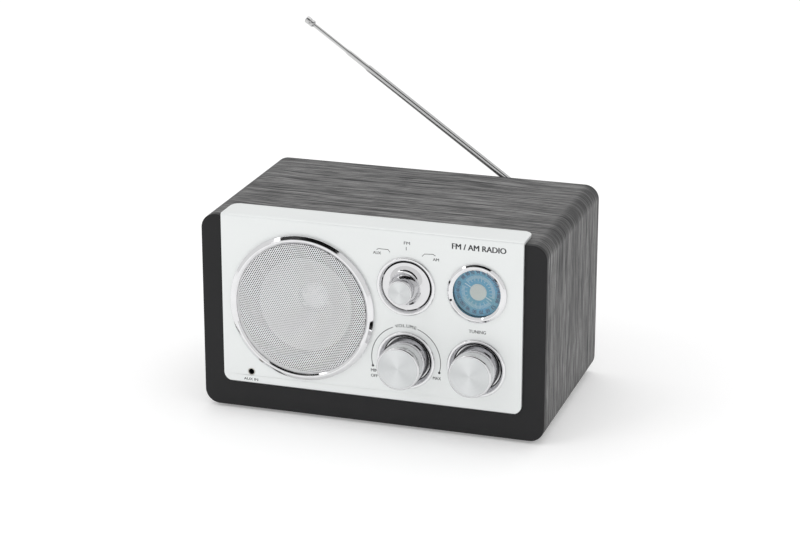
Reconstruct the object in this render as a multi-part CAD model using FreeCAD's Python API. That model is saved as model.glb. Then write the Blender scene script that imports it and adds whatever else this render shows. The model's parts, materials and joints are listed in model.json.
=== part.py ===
import FreeCAD, Part
import math
import os

# A mains tabletop radio: a wood-wrapped cabinet, a bent metal fascia over a black baffle,
# one full-range speaker, three turned knobs, a geared tuning dial and a telescopic antenna.
#
# Millimetres. Every function works in the cabinet's own place: x = 0 midway across,
# y = 0 on the baffle's front face with +Y to the back, z = 0 under the cabinet.
# save() then moves each piece to the part's frame, whose origin is under the middle
# of the whole radio, at the height of the surface that it stands on.

V = FreeCAD.Vector

# ---------------------------------------------------------------- driving dimensions
# cabinet
CABINET_WIDTH = 215.0
CABINET_HEIGHT = 122.0
CABINET_DEPTH = 128.5
WALL = 9.0
CORNER_RADIUS = 9.0
REBATE_WIDTH = 5.0
REBATE_DEPTH = 4.0
FOOT_RADIUS = 8.0
FOOT_HEIGHT = 2.0
FOOT_INSET_X = 22.5
FOOT_INSET_Y = 22.0

# baffle and fascia
BAFFLE_THICKNESS = 4.0
BAFFLE_EDGE_ROUND = 0.8
RIM_WALL = 2.5
RIM_DEPTH = 8.0
RIM_CLEARANCE = 0.3
FASCIA_THICKNESS = 2.0
FASCIA_SIDE_MARGIN = 13.5
FASCIA_BOTTOM_MARGIN = 17.0
FASCIA_FLANGE_REACH = 20.0
FASCIA_BEND_RADIUS = 1.5
FASCIA_FRONT_CORNER = 5.5
FASCIA_FLANGE_CORNER = 6.0
PLATE_CLEARANCE = 0.2

# rear cover
COVER_THICKNESS = 3.0
COVER_CLEARANCE = 0.3
VENT_WIDTH = 2.4
VENT_LENGTH = 46.0
VENT_PITCH = 6.0
VENT_COUNT = 8
VENT_CENTRE = (-20.0, CABINET_HEIGHT / 2 + 23.0)

# screws, shared by the rear cover and the baffle's rim
SCREW_RADIUS = 1.1
SCREW_LENGTH = 9.0
SCREW_HEAD_RADIUS = 2.2
SCREW_HEAD_HEIGHT = 1.6
SCREW_SLOT = 0.6
SCREW_CLEARANCE = 0.05
COVER_SCREW_INSET = 2.5
COVER_SCREW_ROWS = 3
RIM_SCREW_SPREAD = 90.0

# speaker
SPEAKER_CENTRE = (-42.6, CABINET_HEIGHT / 2 + 8.3)
TRIM_OUTER_RADIUS = 45.7
TRIM_INNER_RADIUS = 41.3
TRIM_HEIGHT = 3.2
GRILLE_THICKNESS = 0.8
GRILLE_CROWN = 2.2
SPEAKER_OPENING_RADIUS = 36.0
SPEAKER_FLANGE_RADIUS = 40.0
SPEAKER_FLANGE_THICKNESS = 1.2
SPEAKER_SCREW_RADIUS = 1.0
SPEAKER_SCREW_DEPTH = 3.0
SPEAKER_SCREW_HEAD = (1.9, 1.4)
BASKET_DEPTH = 20.0
BASKET_BACK_RADIUS = 21.0
BASKET_FLANGE_WIDTH = 6.5
BASKET_WINDOW_HALF = 9.0
BASKET_WINDOW_MARGIN = 3.0
TAB_REACH = 33.0
TAB_MARGIN = 3.0
TAB_DROP = -6.0
TAB_PITCH = 4.0
CONE_RADIUS = 30.0
CONE_DEPTH = 15.7
CONE_THICKNESS = 0.5
CONE_WALL = 0.8
DUST_CAP_WIDTH = 2.0
DUST_CAP_RISE = 3.4
SURROUND_WIDTH = 3.6
COIL_RADIUS = 7.6
COIL_WALL = 0.5
COIL_GAP = 0.4
COIL_OVERHANG = 2.0
SPIDER_RISE = 0.7
SPIDER_RIPPLES = 3
TOP_PLATE_THICKNESS = 3.0
TOP_PLATE_RADIUS = 22.0
MAGNET_THICKNESS = 10.0
MAGNET_RADIUS = 27.0
MAGNET_CLEARANCE = 5.0
YOKE_THICKNESS = 3.0
YOKE_RADIUS = 24.0

# knobs and bezels
BAND_CENTRE = (22.7, CABINET_HEIGHT / 2 + 28.8)
VOLUME_CENTRE = (22.7, CABINET_HEIGHT / 2 - 17.6)
TUNING_CENTRE = (66.25, CABINET_HEIGHT / 2 - 17.7)
BEZEL_RADIUS = 18.1
BEZEL_HEIGHT = 1.1
BEZEL_LIP = (1.6, 0.8)
BEZEL_BULGE = (0.55, 0.05)
DISH_RADIUS = 14.5
DISH_EDGE_DEPTH = 1.5
DISH_WALL = 1.0
DISH_FLOOR_DEPTH = 3.0
DISH_FLOOR_THICKNESS = 1.0
DISH_CLEARANCE = 0.2
KNOB_BASE_RADIUS = 13.9
KNOB_FACE_RADIUS = 13.3
KNOB_EDGE = 0.6
KNOB_FLOOR_GAP = 0.6
KNOB_WALL = 1.6
KNOB_FACE_DEPTH = 4.0
KNOB_ROOF = 2.0
KNOB_HUB_WALL = 2.5
VOLUME_KNOB_REACH = 18.3
TUNING_KNOB_REACH = 16.8
CAP_RIM = 0.6
CAP_THICKNESS = 0.8
BAND_KNOB_REACH = 14.8
BAND_FACE_RADIUS = 7.3
BAND_POST_RADIUS = 8.5
BAND_FLARE_RADIUS = 14.6
BAND_FLARE_RISE = 4.2
BAND_FLARE_EDGE = 0.8
BAND_FLARE_GAP = 1.0
BAND_EDGE = (0.2, 0.4)
BAND_WAIST = (1.6, 1.9)
BAND_SKIN = 1.0
SHAFT_RADIUS = 3.0
RUNNING_CLEARANCE = 0.05
BUSHING_WALL = 0.45
BUSHING_REACH = 4.0
NUT_WALL = 1.5
NUT_THICKNESS = 2.2
POT_RADIUS = 8.5
POT_DEPTH = 9.0
POT_TAG = (1.6, 1.0, 5.0)
POT_TAG_PITCH = 5.0
CONTROL_BORE_DEPTH = 3.0
SHAFT_CONTROL_REACH = 2.5
SWITCH_SIZE = 22.0
SWITCH_DEPTH = 8.0
SWITCH_CORNER = 3.0
SWITCH_PINS = 8
SWITCH_PIN = (0.7, 4.0)

# dial
DIAL_RING_INNER_RADIUS = 14.5
DIAL_RING_HEIGHT = 2.0
DIAL_RING_WALL = 0.8
DIAL_LIP_DEPTH = 0.8
DIAL_LIP_THICKNESS = 0.5
DIAL_RING_SPIGOT = 15.4
LENS_THICKNESS = 1.2
DISC_RADIUS = 15.0
DISC_THICKNESS = 1.2
DISC_DEPTH = 2.6
DIAL_SHAFT_RADIUS = 2.0
DIAL_SHAFT_TAIL = 5.0
DISC_BOSS = 2.0

# gear train between the tuning knob and the dial
DIAL_RISE = 46.8
PRESSURE_ANGLE = 20.0
PINION_TEETH = 24
IDLER_TEETH = 34
DIAL_TEETH = 64
GEAR_WIDTH = 3.0
GEAR_BACKLASH = 0.14
GEAR_GAP = 3.5
PLATE_GAP = 10.0
GEAR_PLATE_THICKNESS = 1.2
GEAR_PLATE_MARGIN = 21.0
GEAR_PLATE_DROP = 4.0
GEAR_PLATE_CORNER = 2.0
POST_RADIUS = 3.0
POST_MARGIN = 0.5
IDLER_PIN_RADIUS = 1.5
BUSH_WALL = 1.2
BUSH_PROUD = 1.5
SHAFT_TAIL = 1.0
IDLER_PIN_HEAD = (2.5, 0.8)
IDLER_GAP = 0.4
CAPACITOR_SIZE = 20.0
CAPACITOR_DEPTH = 14.0
CAPACITOR_CORNER = 2.0
LAMP_RADIUS = 1.5
LAMP_LENGTH = 1.2
LAMP_BASE = (2.1, 1.0)
LAMP_OFFSET = 12.0

# sockets
AUX_CORNER_OFFSET = (17.9, 7.3)
AUX_BORE_RADIUS = 1.78
AUX_BORE_LENGTH = 14.0
AUX_NOSE_WALL = 0.5
AUX_BARREL_RADIUS = 3.0
AUX_BODY_SIZE = 10.0
AUX_BACK_WALL = 2.0
AUX_CORNER = 1.0
INLET_CENTRE = (-66.0, 32.0)
INLET_PIN_SPACING = 8.6
INLET_RECESS_RADIUS = 4.6
INLET_RECESS_DEPTH = 12.0
INLET_WALL = 2.2
INLET_FLANGE = (30.0, 18.0, 1.5)
INLET_CORNERS = (2.0, 3.0)
INLET_PIN = (1.2, 9.0)

# electronics
BOARD_SIZE = (110.0, 62.0, 1.6)
BOARD_CORNER = (-32.0, 52.0)
BOARD_STANDOFF = 7.0
STANDOFF_RADIUS = 3.0
SMOOTHING_SIZE = (5.0, 18.0)
SMOOTHING_FIRST = (14.0, 50.0)
SMOOTHING_PITCH = 14.0
SMOOTHING_COUNT = 3
SINK_CORNER = (56.0, 46.0)
SINK_SIZE = (30.0, 12.0, 20.0)
SINK_SLOTS = 4
SINK_PITCH = 7.0
SINK_SLOT_WIDTH = 3.0
SINK_WEB = 4.0
SINK_FOOT = 2.0
TUNER_CORNER = (74.0, 20.0)
TUNER_SIZE = (22.0, 16.0, 8.0)
CHIP_CORNERS = ((16.0, 26.0), (42.0, 26.0))
CHIP_SIZE = (14.0, 8.0, 2.2)
TRANSFORMER_SIZE = (42.0, 34.0, 36.0)
TRANSFORMER_STACK = 18.0
TRANSFORMER_CORNER = (-88.0, 62.0)
TRANSFORMER_TONGUE = 14.0
FERRITE_RADIUS = 4.0
FERRITE_LENGTH = 70.0
FERRITE_START = (20.0, 9.0)
FERRITE_HEIGHT = 12.0
FERRITE_HOLDER = (4.0, 5.0, 1.8)
WINDING = (24.0, 18.0, 1.2)
LEAD_RADIUS = 0.8

# telescopic antenna, at the angle and length that it stands at
ANTENNA_PIVOT_X = 65.0
ANTENNA_STANDOFF = 8.0
ANTENNA_ANGLE = 35.1
BASE_TUBE_RADIUS = 2.2
BASE_TUBE_BORE = 1.8
BASE_TUBE_END = 137.0
MIDDLE_TUBE_RADIUS = 1.74
MIDDLE_TUBE_BORE = 1.4
MIDDLE_TUBE_LENGTH = 124.0
MIDDLE_TUBE_END = 154.0
ROD_RADIUS = 1.32
ROD_LENGTH = 118.0
ROD_END = 181.0
TIP_RADIUS = 2.3
TIP_LENGTH = 6.5
TIP_CHAMFER = 0.5
SWIVEL_STUB_RADIUS = 3.0
SWIVEL_HEAD = (4.5, 2.0)
SWIVEL_HEAD_GAP = 1.0
SWIVEL_FLANGE_RADIUS = 6.5
SWIVEL_FLANGE_THICKNESS = 3.0
SWIVEL_GAP = 0.3
SWIVEL_BOSS_RADIUS = 8.0
SWIVEL_BOSS_DEPTH = 7.0
SWIVEL_BOSS_GAP = 0.2
EAR_RADIUS = 3.0
EAR_THICKNESS = 1.6
EYE_RADIUS = 2.8
TONGUE_THICKNESS = 2.8
TONGUE_HALF_WIDTH = 2.08
TONGUE_OVERLAP = 1.0
EAR_CLEARANCE = 0.3
PIN_RADIUS = 1.0
PIN_HEAD_RADIUS = 1.8
PIN_HEAD_HEIGHT = 0.6
FERRULE_RADIUS = 2.6
FERRULE_START = 4.0
FERRULE_END = 13.0

# ---------------------------------------------------------------- sizes that follow
HALF_WIDTH = CABINET_WIDTH / 2
INNER_HALF_WIDTH = HALF_WIDTH - WALL
INNER_BOTTOM = WALL
INNER_TOP = CABINET_HEIGHT - WALL
COVER_BACK = CABINET_DEPTH - REBATE_DEPTH + COVER_THICKNESS
COVER_FRONT = CABINET_DEPTH - REBATE_DEPTH
FASCIA_FRONT = -FASCIA_THICKNESS
FASCIA_HALF_WIDTH = HALF_WIDTH - FASCIA_SIDE_MARGIN
AUX_CENTRE = (AUX_CORNER_OFFSET[0] - FASCIA_HALF_WIDTH, AUX_CORNER_OFFSET[1] + FASCIA_BOTTOM_MARGIN)
AUX_NOSE_RADIUS = AUX_BORE_RADIUS + AUX_NOSE_WALL
AUX_FLOOR = FASCIA_FRONT + AUX_BORE_LENGTH
DISH_EDGE = FASCIA_FRONT + DISH_EDGE_DEPTH
DISH_FLOOR = FASCIA_FRONT + DISH_FLOOR_DEPTH
DISH_BACK = DISH_FLOOR + DISH_FLOOR_THICKNESS
DISH_OUTER_RADIUS = DISH_RADIUS + DISH_WALL
KNOB_BOSS = DISH_FLOOR - BUSHING_REACH - KNOB_FLOOR_GAP
DISH_HOLE_RADIUS = DISH_OUTER_RADIUS + DISH_CLEARANCE
RUNNING_RADIUS = SHAFT_RADIUS + RUNNING_CLEARANCE
BUSHING_RADIUS = RUNNING_RADIUS + BUSHING_WALL
NUT_ACROSS_FLATS = 2 * (BUSHING_RADIUS + NUT_WALL)
KNOB_HUB_RADIUS = SHAFT_RADIUS + KNOB_HUB_WALL
FRONT_BUSH_RADIUS = RUNNING_RADIUS + BUSH_WALL
GEAR_MODULE = DIAL_RISE / (PINION_TEETH / 2 + IDLER_TEETH + DIAL_TEETH / 2)
PINION_PITCH = GEAR_MODULE * PINION_TEETH / 2
IDLER_PITCH = GEAR_MODULE * IDLER_TEETH / 2
DIAL_TIP = GEAR_MODULE * (DIAL_TEETH / 2 + 1)
IDLER_CENTRE = (TUNING_CENTRE[0], TUNING_CENTRE[1] + PINION_PITCH + IDLER_PITCH)
DIAL_CENTRE = (TUNING_CENTRE[0], TUNING_CENTRE[1] + DIAL_RISE)
GEAR_FRONT = BAFFLE_THICKNESS + GEAR_GAP
GEAR_BACK = GEAR_FRONT + GEAR_WIDTH
PLATE_FRONT = BAFFLE_THICKNESS + PLATE_GAP
PLATE_BACK = PLATE_FRONT + GEAR_PLATE_THICKNESS
DISC_FRONT = FASCIA_FRONT + DISC_DEPTH
SPEAKER_BACK = BAFFLE_THICKNESS + BASKET_DEPTH
MAGNET_FRONT = SPEAKER_BACK + SPEAKER_FLANGE_THICKNESS + TOP_PLATE_THICKNESS
MAGNET_BACK = MAGNET_FRONT + MAGNET_THICKNESS
CONE_BACK = BAFFLE_THICKNESS + CONE_DEPTH
ANTENNA_Y = CABINET_DEPTH + ANTENNA_STANDOFF
ANTENNA_PIVOT = (ANTENNA_PIVOT_X, INNER_TOP - SWIVEL_BOSS_RADIUS - SWIVEL_BOSS_GAP)
BOARD_BOTTOM = INNER_BOTTOM + BOARD_STANDOFF
BOARD_TOP = BOARD_BOTTOM + BOARD_SIZE[2]
ORIGIN_Y = (ANTENNA_Y + EAR_RADIUS - VOLUME_KNOB_REACH) / 2


# ---------------------------------------------------------------- helpers
def save(node, *solids):
    """Write one node: its solids, moved from the cabinet's place to the part's frame."""
    shape = solids[0] if len(solids) == 1 else Part.makeCompound(list(solids))
    shape = shape.copy()
    shape.translate(V(0, -ORIGIN_Y, FOOT_HEIGHT))
    if not shape.isValid() or shape.Volume <= 0:
        raise ValueError(node + " is not a sound solid")
    shape.exportStep(os.path.join("parts", node + ".step"))


def block(x, y, z):
    """Box between three pairs of limits."""
    return Part.makeBox(x[1] - x[0], y[1] - y[0], z[1] - z[0], V(x[0], y[0], z[0]))


def round_bar(centre, radius, front, back):
    """Cylinder along +Y round (x, z), from y = front to y = back."""
    return Part.makeCylinder(radius, back - front, V(centre[0], front, centre[1]), V(0, 1, 0))


def pipe(centre, outer, inner, front, back):
    return round_bar(centre, outer, front, back).cut(round_bar(centre, inner, front, back))


def bar(start, direction, radius, length):
    return Part.makeCylinder(radius, length, start, direction)


def turned(centre, steps):
    """Solid turned about the line along Y through (x, z).

    steps go round its half section as (radius, y). A pair of such points is an arc
    through the first to the second."""
    start = V(steps[0][0], steps[0][1], 0)
    here = start
    edges = []
    for step in steps[1:]:
        if isinstance(step[0], tuple):
            middle, end = [V(r, y, 0) for r, y in step]
            edges.append(Part.Arc(here, middle, end).toShape())
        else:
            end = V(step[0], step[1], 0)
            edges.append(Part.LineSegment(here, end).toShape())
        here = end
    edges.append(Part.LineSegment(here, start).toShape())
    solid = Part.Face(Part.Wire(edges)).revolve(V(0, 0, 0), V(0, 1, 0), 360)
    if solid.Volume < 0:
        solid.reverse()
    solid.translate(V(centre[0], 0, centre[1]))
    return solid


def edges_where(shape, test):
    """Edges whose middle point passes the test."""
    return [e for e in shape.Edges if test(e.valueAt((e.FirstParameter + e.LastParameter) / 2))]


def edges_along(shape, axis):
    """Straight edges that run along one axis."""
    found = []
    for edge in shape.Edges:
        if len(edge.Vertexes) == 2:
            run = edge.Vertexes[1].Point - edge.Vertexes[0].Point
            if run.Length > 0 and abs(abs(run.dot(axis)) / run.Length - 1) < 1e-9:
                found.append(edge)
    return found


def rounded_block(x, y, z, radius):
    """Box whose four edges along Y are rounded."""
    box = block(x, y, z)
    return box.makeFillet(radius, edges_along(box, V(0, 1, 0)))


def hex_nut(centre, bore, front, back):
    corner = NUT_ACROSS_FLATS / 2 / math.cos(math.pi / 6)
    points = [V(centre[0] + corner * math.cos(i * math.pi / 3), front,
                centre[1] + corner * math.sin(i * math.pi / 3)) for i in range(7)]
    nut = Part.Face(Part.makePolygon(points)).extrude(V(0, back - front, 0))
    return nut.cut(round_bar(centre, bore, front, back))


def around(centre, radius, count, first=0.0):
    """(x, z) points evenly spaced on a circle; first is in degrees from +X towards +Z."""
    turns = [math.radians(first + 360.0 * i / count) for i in range(count)]
    return [(centre[0] + radius * math.cos(a), centre[1] + radius * math.sin(a)) for a in turns]


def involute(angle):
    return math.tan(angle) - angle


def gear(centre, teeth, bore, first):
    """Spur gear with involute flanks and one tooth pointing at the angle first, in degrees."""
    pitch = GEAR_MODULE * teeth / 2
    base = pitch * math.cos(math.radians(PRESSURE_ANGLE))
    tip = pitch + GEAR_MODULE
    root = pitch - 1.25 * GEAR_MODULE
    half_tooth = (math.pi * GEAR_MODULE / 2 - GEAR_BACKLASH) / 2 / pitch
    flank = []
    for radius in (max(base, root), pitch, tip):
        turn = involute(math.acos(min(1.0, base / radius)))
        flank.append((radius, half_tooth + involute(math.radians(PRESSURE_ANGLE)) - turn))
    flank.insert(0, (root, flank[0][1]))
    points = []
    for i in range(teeth):
        middle = math.radians(first + 360.0 * i / teeth)
        tooth = [(r, middle - a) for r, a in flank] + [(r, middle + a) for r, a in reversed(flank)]
        points += [V(centre[0] + r * math.cos(a), GEAR_FRONT, centre[1] + r * math.sin(a))
                   for r, a in tooth]
    # two flank radii can fall together where the root lies above the base circle
    points = [p for i, p in enumerate(points) if (p - points[i - 1]).Length > 1e-6]
    blank = Part.Face(Part.makePolygon(points + points[:1])).extrude(V(0, GEAR_WIDTH, 0))
    return blank.cut(round_bar(centre, bore, GEAR_FRONT, GEAR_BACK))


def lead(points):
    """Wire along straight runs with tangent arcs between them."""
    points = [V(*p) for p in points]
    edges = []
    here = points[0]
    for before, corner, after in zip(points, points[1:], points[2:]):
        into = (corner - before).normalize()
        out = (after - corner).normalize()
        shorter = min((corner - before).Length, (after - corner).Length)
        half_turn = math.acos(max(-1.0, min(1.0, into.dot(out)))) / 2
        trim = 0.45 * shorter
        radius = trim / math.tan(half_turn)
        start = corner - into * trim
        end = corner + out * trim
        inward = (out - into).normalize()
        middle = corner + inward * (radius / math.cos(half_turn) - radius)
        edges.append(Part.LineSegment(here, start).toShape())
        edges.append(Part.Arc(start, middle, end).toShape())
        here = end
    edges.append(Part.LineSegment(here, points[-1]).toShape())
    path = Part.Wire(edges)
    circle = Part.Circle(points[0], points[1] - points[0], LEAD_RADIUS).toShape()
    return path.makePipeShell([Part.Wire(circle)], True, True)


# ---------------------------------------------------------------- cabinet
def cabinet_outline(inset, front, back, radius):
    return rounded_block((inset - HALF_WIDTH, HALF_WIDTH - inset), (front, back),
                         (inset, CABINET_HEIGHT - inset), radius)


def cover_screw_places():
    """(x, z) of the rear cover's screws, in the middle of the sleeve's rebate."""
    x = INNER_HALF_WIDTH + COVER_SCREW_INSET
    step = (INNER_TOP - INNER_BOTTOM) * 0.8 / (COVER_SCREW_ROWS - 1)
    rows = [CABINET_HEIGHT / 2 + step * (i - (COVER_SCREW_ROWS - 1) / 2)
            for i in range(COVER_SCREW_ROWS)]
    return [(side * x, z) for side in (-1, 1) for z in rows]


def rim_screw_places():
    """Start and direction of the four screws through the baffle's rim into the sleeve."""
    y = BAFFLE_THICKNESS + RIM_DEPTH / 2
    gap = RIM_CLEARANCE + RIM_WALL
    places = []
    for x in (-RIM_SCREW_SPREAD, RIM_SCREW_SPREAD):
        places.append((V(x, y, INNER_TOP - gap), V(0, 0, 1)))
        places.append((V(x, y, INNER_BOTTOM + gap), V(0, 0, -1)))
    return places


def cabinet_screw(seat, direction):
    head = bar(seat - direction * SCREW_HEAD_HEIGHT, direction, SCREW_HEAD_RADIUS, SCREW_HEAD_HEIGHT)
    width = SCREW_SLOT
    slot = Part.makeBox(2 * SCREW_HEAD_RADIUS, width, width, V(-SCREW_HEAD_RADIUS, -width / 2, 0))
    slot.Placement = FreeCAD.Placement(seat - direction * SCREW_HEAD_HEIGHT,
                                       FreeCAD.Rotation(V(0, 0, 1), direction))
    return head.cut(slot).fuse(bar(seat, direction, SCREW_RADIUS, SCREW_LENGTH))


def cabinet_sleeve():
    sleeve = cabinet_outline(0, BAFFLE_THICKNESS, CABINET_DEPTH, CORNER_RADIUS)
    hollow = block((-INNER_HALF_WIDTH, INNER_HALF_WIDTH), (0, CABINET_DEPTH), (INNER_BOTTOM, INNER_TOP))
    rim = WALL - REBATE_WIDTH
    rebate = cabinet_outline(rim, COVER_FRONT, CABINET_DEPTH, CORNER_RADIUS - rim)
    sleeve = sleeve.cut(hollow).cut(rebate)
    pilot = SCREW_RADIUS + SCREW_CLEARANCE
    for x, z in cover_screw_places():
        sleeve = sleeve.cut(round_bar((x, z), pilot, COVER_FRONT - SCREW_LENGTH, COVER_FRONT))
    for seat, direction in rim_screw_places():
        sleeve = sleeve.cut(bar(seat, direction, pilot, SCREW_LENGTH + SCREW_CLEARANCE))
    return sleeve


def rubber_feet():
    x = HALF_WIDTH - FOOT_INSET_X
    feet = []
    for side in (-1, 1):
        for y in (FOOT_INSET_Y, CABINET_DEPTH - FOOT_INSET_Y):
            feet.append(bar(V(side * x, y, -FOOT_HEIGHT), V(0, 0, 1), FOOT_RADIUS, FOOT_HEIGHT))
    return feet


def cabinet_screws():
    screws = [cabinet_screw(V(x, COVER_BACK, z), V(0, -1, 0)) for x, z in cover_screw_places()]
    return screws + [cabinet_screw(seat, direction) for seat, direction in rim_screw_places()]


def rear_cover():
    edge = WALL - REBATE_WIDTH + COVER_CLEARANCE
    cover = cabinet_outline(edge, COVER_FRONT, COVER_BACK, CORNER_RADIUS - edge)
    for i in range(VENT_COUNT):
        x = VENT_CENTRE[0] + VENT_PITCH * (i - (VENT_COUNT - 1) / 2)
        vent = rounded_block((x - VENT_WIDTH / 2, x + VENT_WIDTH / 2), (COVER_FRONT, COVER_BACK),
                             (VENT_CENTRE[1] - VENT_LENGTH / 2, VENT_CENTRE[1] + VENT_LENGTH / 2),
                             VENT_WIDTH * 0.49)
        cover = cover.cut(vent)
    for place in cover_screw_places():
        cover = cover.cut(round_bar(place, SCREW_RADIUS + SCREW_CLEARANCE, COVER_FRONT, COVER_BACK))
    cover = cover.cut(inlet_body(DISH_CLEARANCE))
    boss = round_bar(ANTENNA_PIVOT, SWIVEL_BOSS_RADIUS, COVER_BACK - SWIVEL_BOSS_DEPTH, CABINET_DEPTH)
    bore = SWIVEL_STUB_RADIUS + RUNNING_CLEARANCE
    return cover.fuse(boss).cut(round_bar(ANTENNA_PIVOT, bore, 0, CABINET_DEPTH)).removeSplitter()


# ---------------------------------------------------------------- baffle and fascia
def front_baffle():
    plate = cabinet_outline(0, 0, BAFFLE_THICKNESS, CORNER_RADIUS)
    plate = plate.makeFillet(BAFFLE_EDGE_ROUND, edges_where(plate, lambda p: abs(p.y) < 1e-6))
    outer = WALL + RIM_CLEARANCE
    inner = outer + RIM_WALL
    back = BAFFLE_THICKNESS + RIM_DEPTH
    rim = cabinet_outline(outer, BAFFLE_THICKNESS, back, RIM_WALL)
    rim = rim.cut(cabinet_outline(inner, BAFFLE_THICKNESS, back, RIM_WALL / 2))
    for centre, radius in ((SPEAKER_CENTRE, SPEAKER_FLANGE_RADIUS), (DIAL_CENTRE, DIAL_TIP)):
        rim = rim.cut(round_bar(centre, radius + PLATE_CLEARANCE, BAFFLE_THICKNESS, back))
    baffle = plate.fuse(rim)
    baffle = baffle.cut(round_bar(SPEAKER_CENTRE, SPEAKER_OPENING_RADIUS, 0, BAFFLE_THICKNESS))
    for centre in (VOLUME_CENTRE, TUNING_CENTRE, BAND_CENTRE):
        baffle = baffle.cut(round_bar(centre, DISH_HOLE_RADIUS, 0, DISH_BACK))
        hole = FRONT_BUSH_RADIUS if centre == TUNING_CENTRE else BUSHING_RADIUS
        baffle = baffle.cut(round_bar(centre, hole + SCREW_CLEARANCE, 0, BAFFLE_THICKNESS))
    hole = DIAL_RING_SPIGOT + DIAL_RING_WALL + DISH_CLEARANCE
    baffle = baffle.cut(round_bar(DIAL_CENTRE, hole, 0, BAFFLE_THICKNESS))
    hole = AUX_BARREL_RADIUS + PLATE_CLEARANCE
    baffle = baffle.cut(round_bar(AUX_CENTRE, hole, 0, BAFFLE_THICKNESS))
    for place in around(SPEAKER_CENTRE, speaker_screw_circle(), 4, 45):
        baffle = baffle.cut(round_bar(place, SPEAKER_SCREW_RADIUS + SCREW_CLEARANCE,
                                      BAFFLE_THICKNESS - SPEAKER_SCREW_DEPTH, BAFFLE_THICKNESS))
    for seat, direction in rim_screw_places():
        baffle = baffle.cut(bar(seat, direction, SCREW_RADIUS + SCREW_CLEARANCE, RIM_WALL))
    return baffle


def fascia_plate():
    x = (-FASCIA_HALF_WIDTH, FASCIA_HALF_WIDTH)
    top = CABINET_HEIGHT + FASCIA_THICKNESS
    front = block(x, (FASCIA_FRONT, 0), (FASCIA_BOTTOM_MARGIN, top))
    flange = block(x, (FASCIA_FRONT, FASCIA_FLANGE_REACH), (CABINET_HEIGHT, top))
    plate = front.fuse(flange).removeSplitter()
    fold = edges_where(plate, lambda p: abs(p.y - FASCIA_FRONT) < 1e-6 and abs(p.z - top) < 1e-6)
    plate = plate.makeFillet(FASCIA_BEND_RADIUS, fold)
    rear = edges_where(plate, lambda p: abs(p.y - FASCIA_FLANGE_REACH) < 1e-6
                       and abs(abs(p.x) - FASCIA_HALF_WIDTH) < 1e-6)
    plate = plate.makeFillet(FASCIA_FLANGE_CORNER, rear)
    foot = edges_where(plate, lambda p: abs(p.z - FASCIA_BOTTOM_MARGIN) < 1e-6
                       and abs(abs(p.x) - FASCIA_HALF_WIDTH) < 1e-6)
    plate = plate.makeFillet(FASCIA_FRONT_CORNER, foot)
    holes = [(SPEAKER_CENTRE, trim_spigot_radius() + PLATE_CLEARANCE)]
    holes += [(centre, DISH_HOLE_RADIUS) for centre in (VOLUME_CENTRE, TUNING_CENTRE, BAND_CENTRE)]
    holes.append((DIAL_CENTRE, DIAL_RING_SPIGOT + DIAL_RING_WALL + DISH_CLEARANCE))
    holes.append((AUX_CENTRE, AUX_NOSE_RADIUS + RUNNING_CLEARANCE))
    for centre, radius in holes:
        plate = plate.cut(round_bar(centre, radius, FASCIA_FRONT, 0))
    return plate


# ---------------------------------------------------------------- speaker
def trim_spigot_radius():
    return TRIM_INNER_RADIUS + GRILLE_THICKNESS + DISH_WALL


def speaker_screw_circle():
    return (SPEAKER_OPENING_RADIUS + SPEAKER_FLANGE_RADIUS) / 2


def dome_point(edge, rise, crown):
    """Point half way out on a part of a sphere, whose edge lies its rise behind its crown."""
    sphere = (edge ** 2 + rise ** 2) / (2 * rise)
    radius = edge / 2
    return (radius, crown + sphere - math.sqrt(sphere ** 2 - radius ** 2))


def speaker_trim_ring():
    lip = FASCIA_FRONT - TRIM_HEIGHT + DISH_WALL
    crest = FASCIA_FRONT - TRIM_HEIGHT
    middle = (TRIM_OUTER_RADIUS + TRIM_INNER_RADIUS) / 2
    seat = TRIM_INNER_RADIUS + GRILLE_THICKNESS
    return turned(SPEAKER_CENTRE, [
        (trim_spigot_radius(), 0), (trim_spigot_radius(), FASCIA_FRONT),
        (TRIM_OUTER_RADIUS, FASCIA_FRONT), (TRIM_OUTER_RADIUS, lip),
        ((middle, crest), (TRIM_INNER_RADIUS, lip)),
        (TRIM_INNER_RADIUS, lip + DISH_WALL / 2), (seat, lip + DISH_WALL / 2), (seat, 0)])


def speaker_grille():
    """Domed front with a skirt that stands on the baffle inside the trim ring."""
    rim = FASCIA_FRONT - TRIM_HEIGHT + DISH_WALL * 1.5
    inner = TRIM_INNER_RADIUS
    outer = inner + GRILLE_THICKNESS
    crown = rim - GRILLE_CROWN
    middle = dome_point(inner, GRILLE_CROWN, crown)
    behind = (middle[0], middle[1] + GRILLE_THICKNESS)
    return turned(SPEAKER_CENTRE, [
        (0, crown), (middle, (inner, rim)), (outer, rim), (outer, 0), (inner, 0),
        (inner, rim + GRILLE_THICKNESS), (behind, (0, crown + GRILLE_THICKNESS))])


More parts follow.
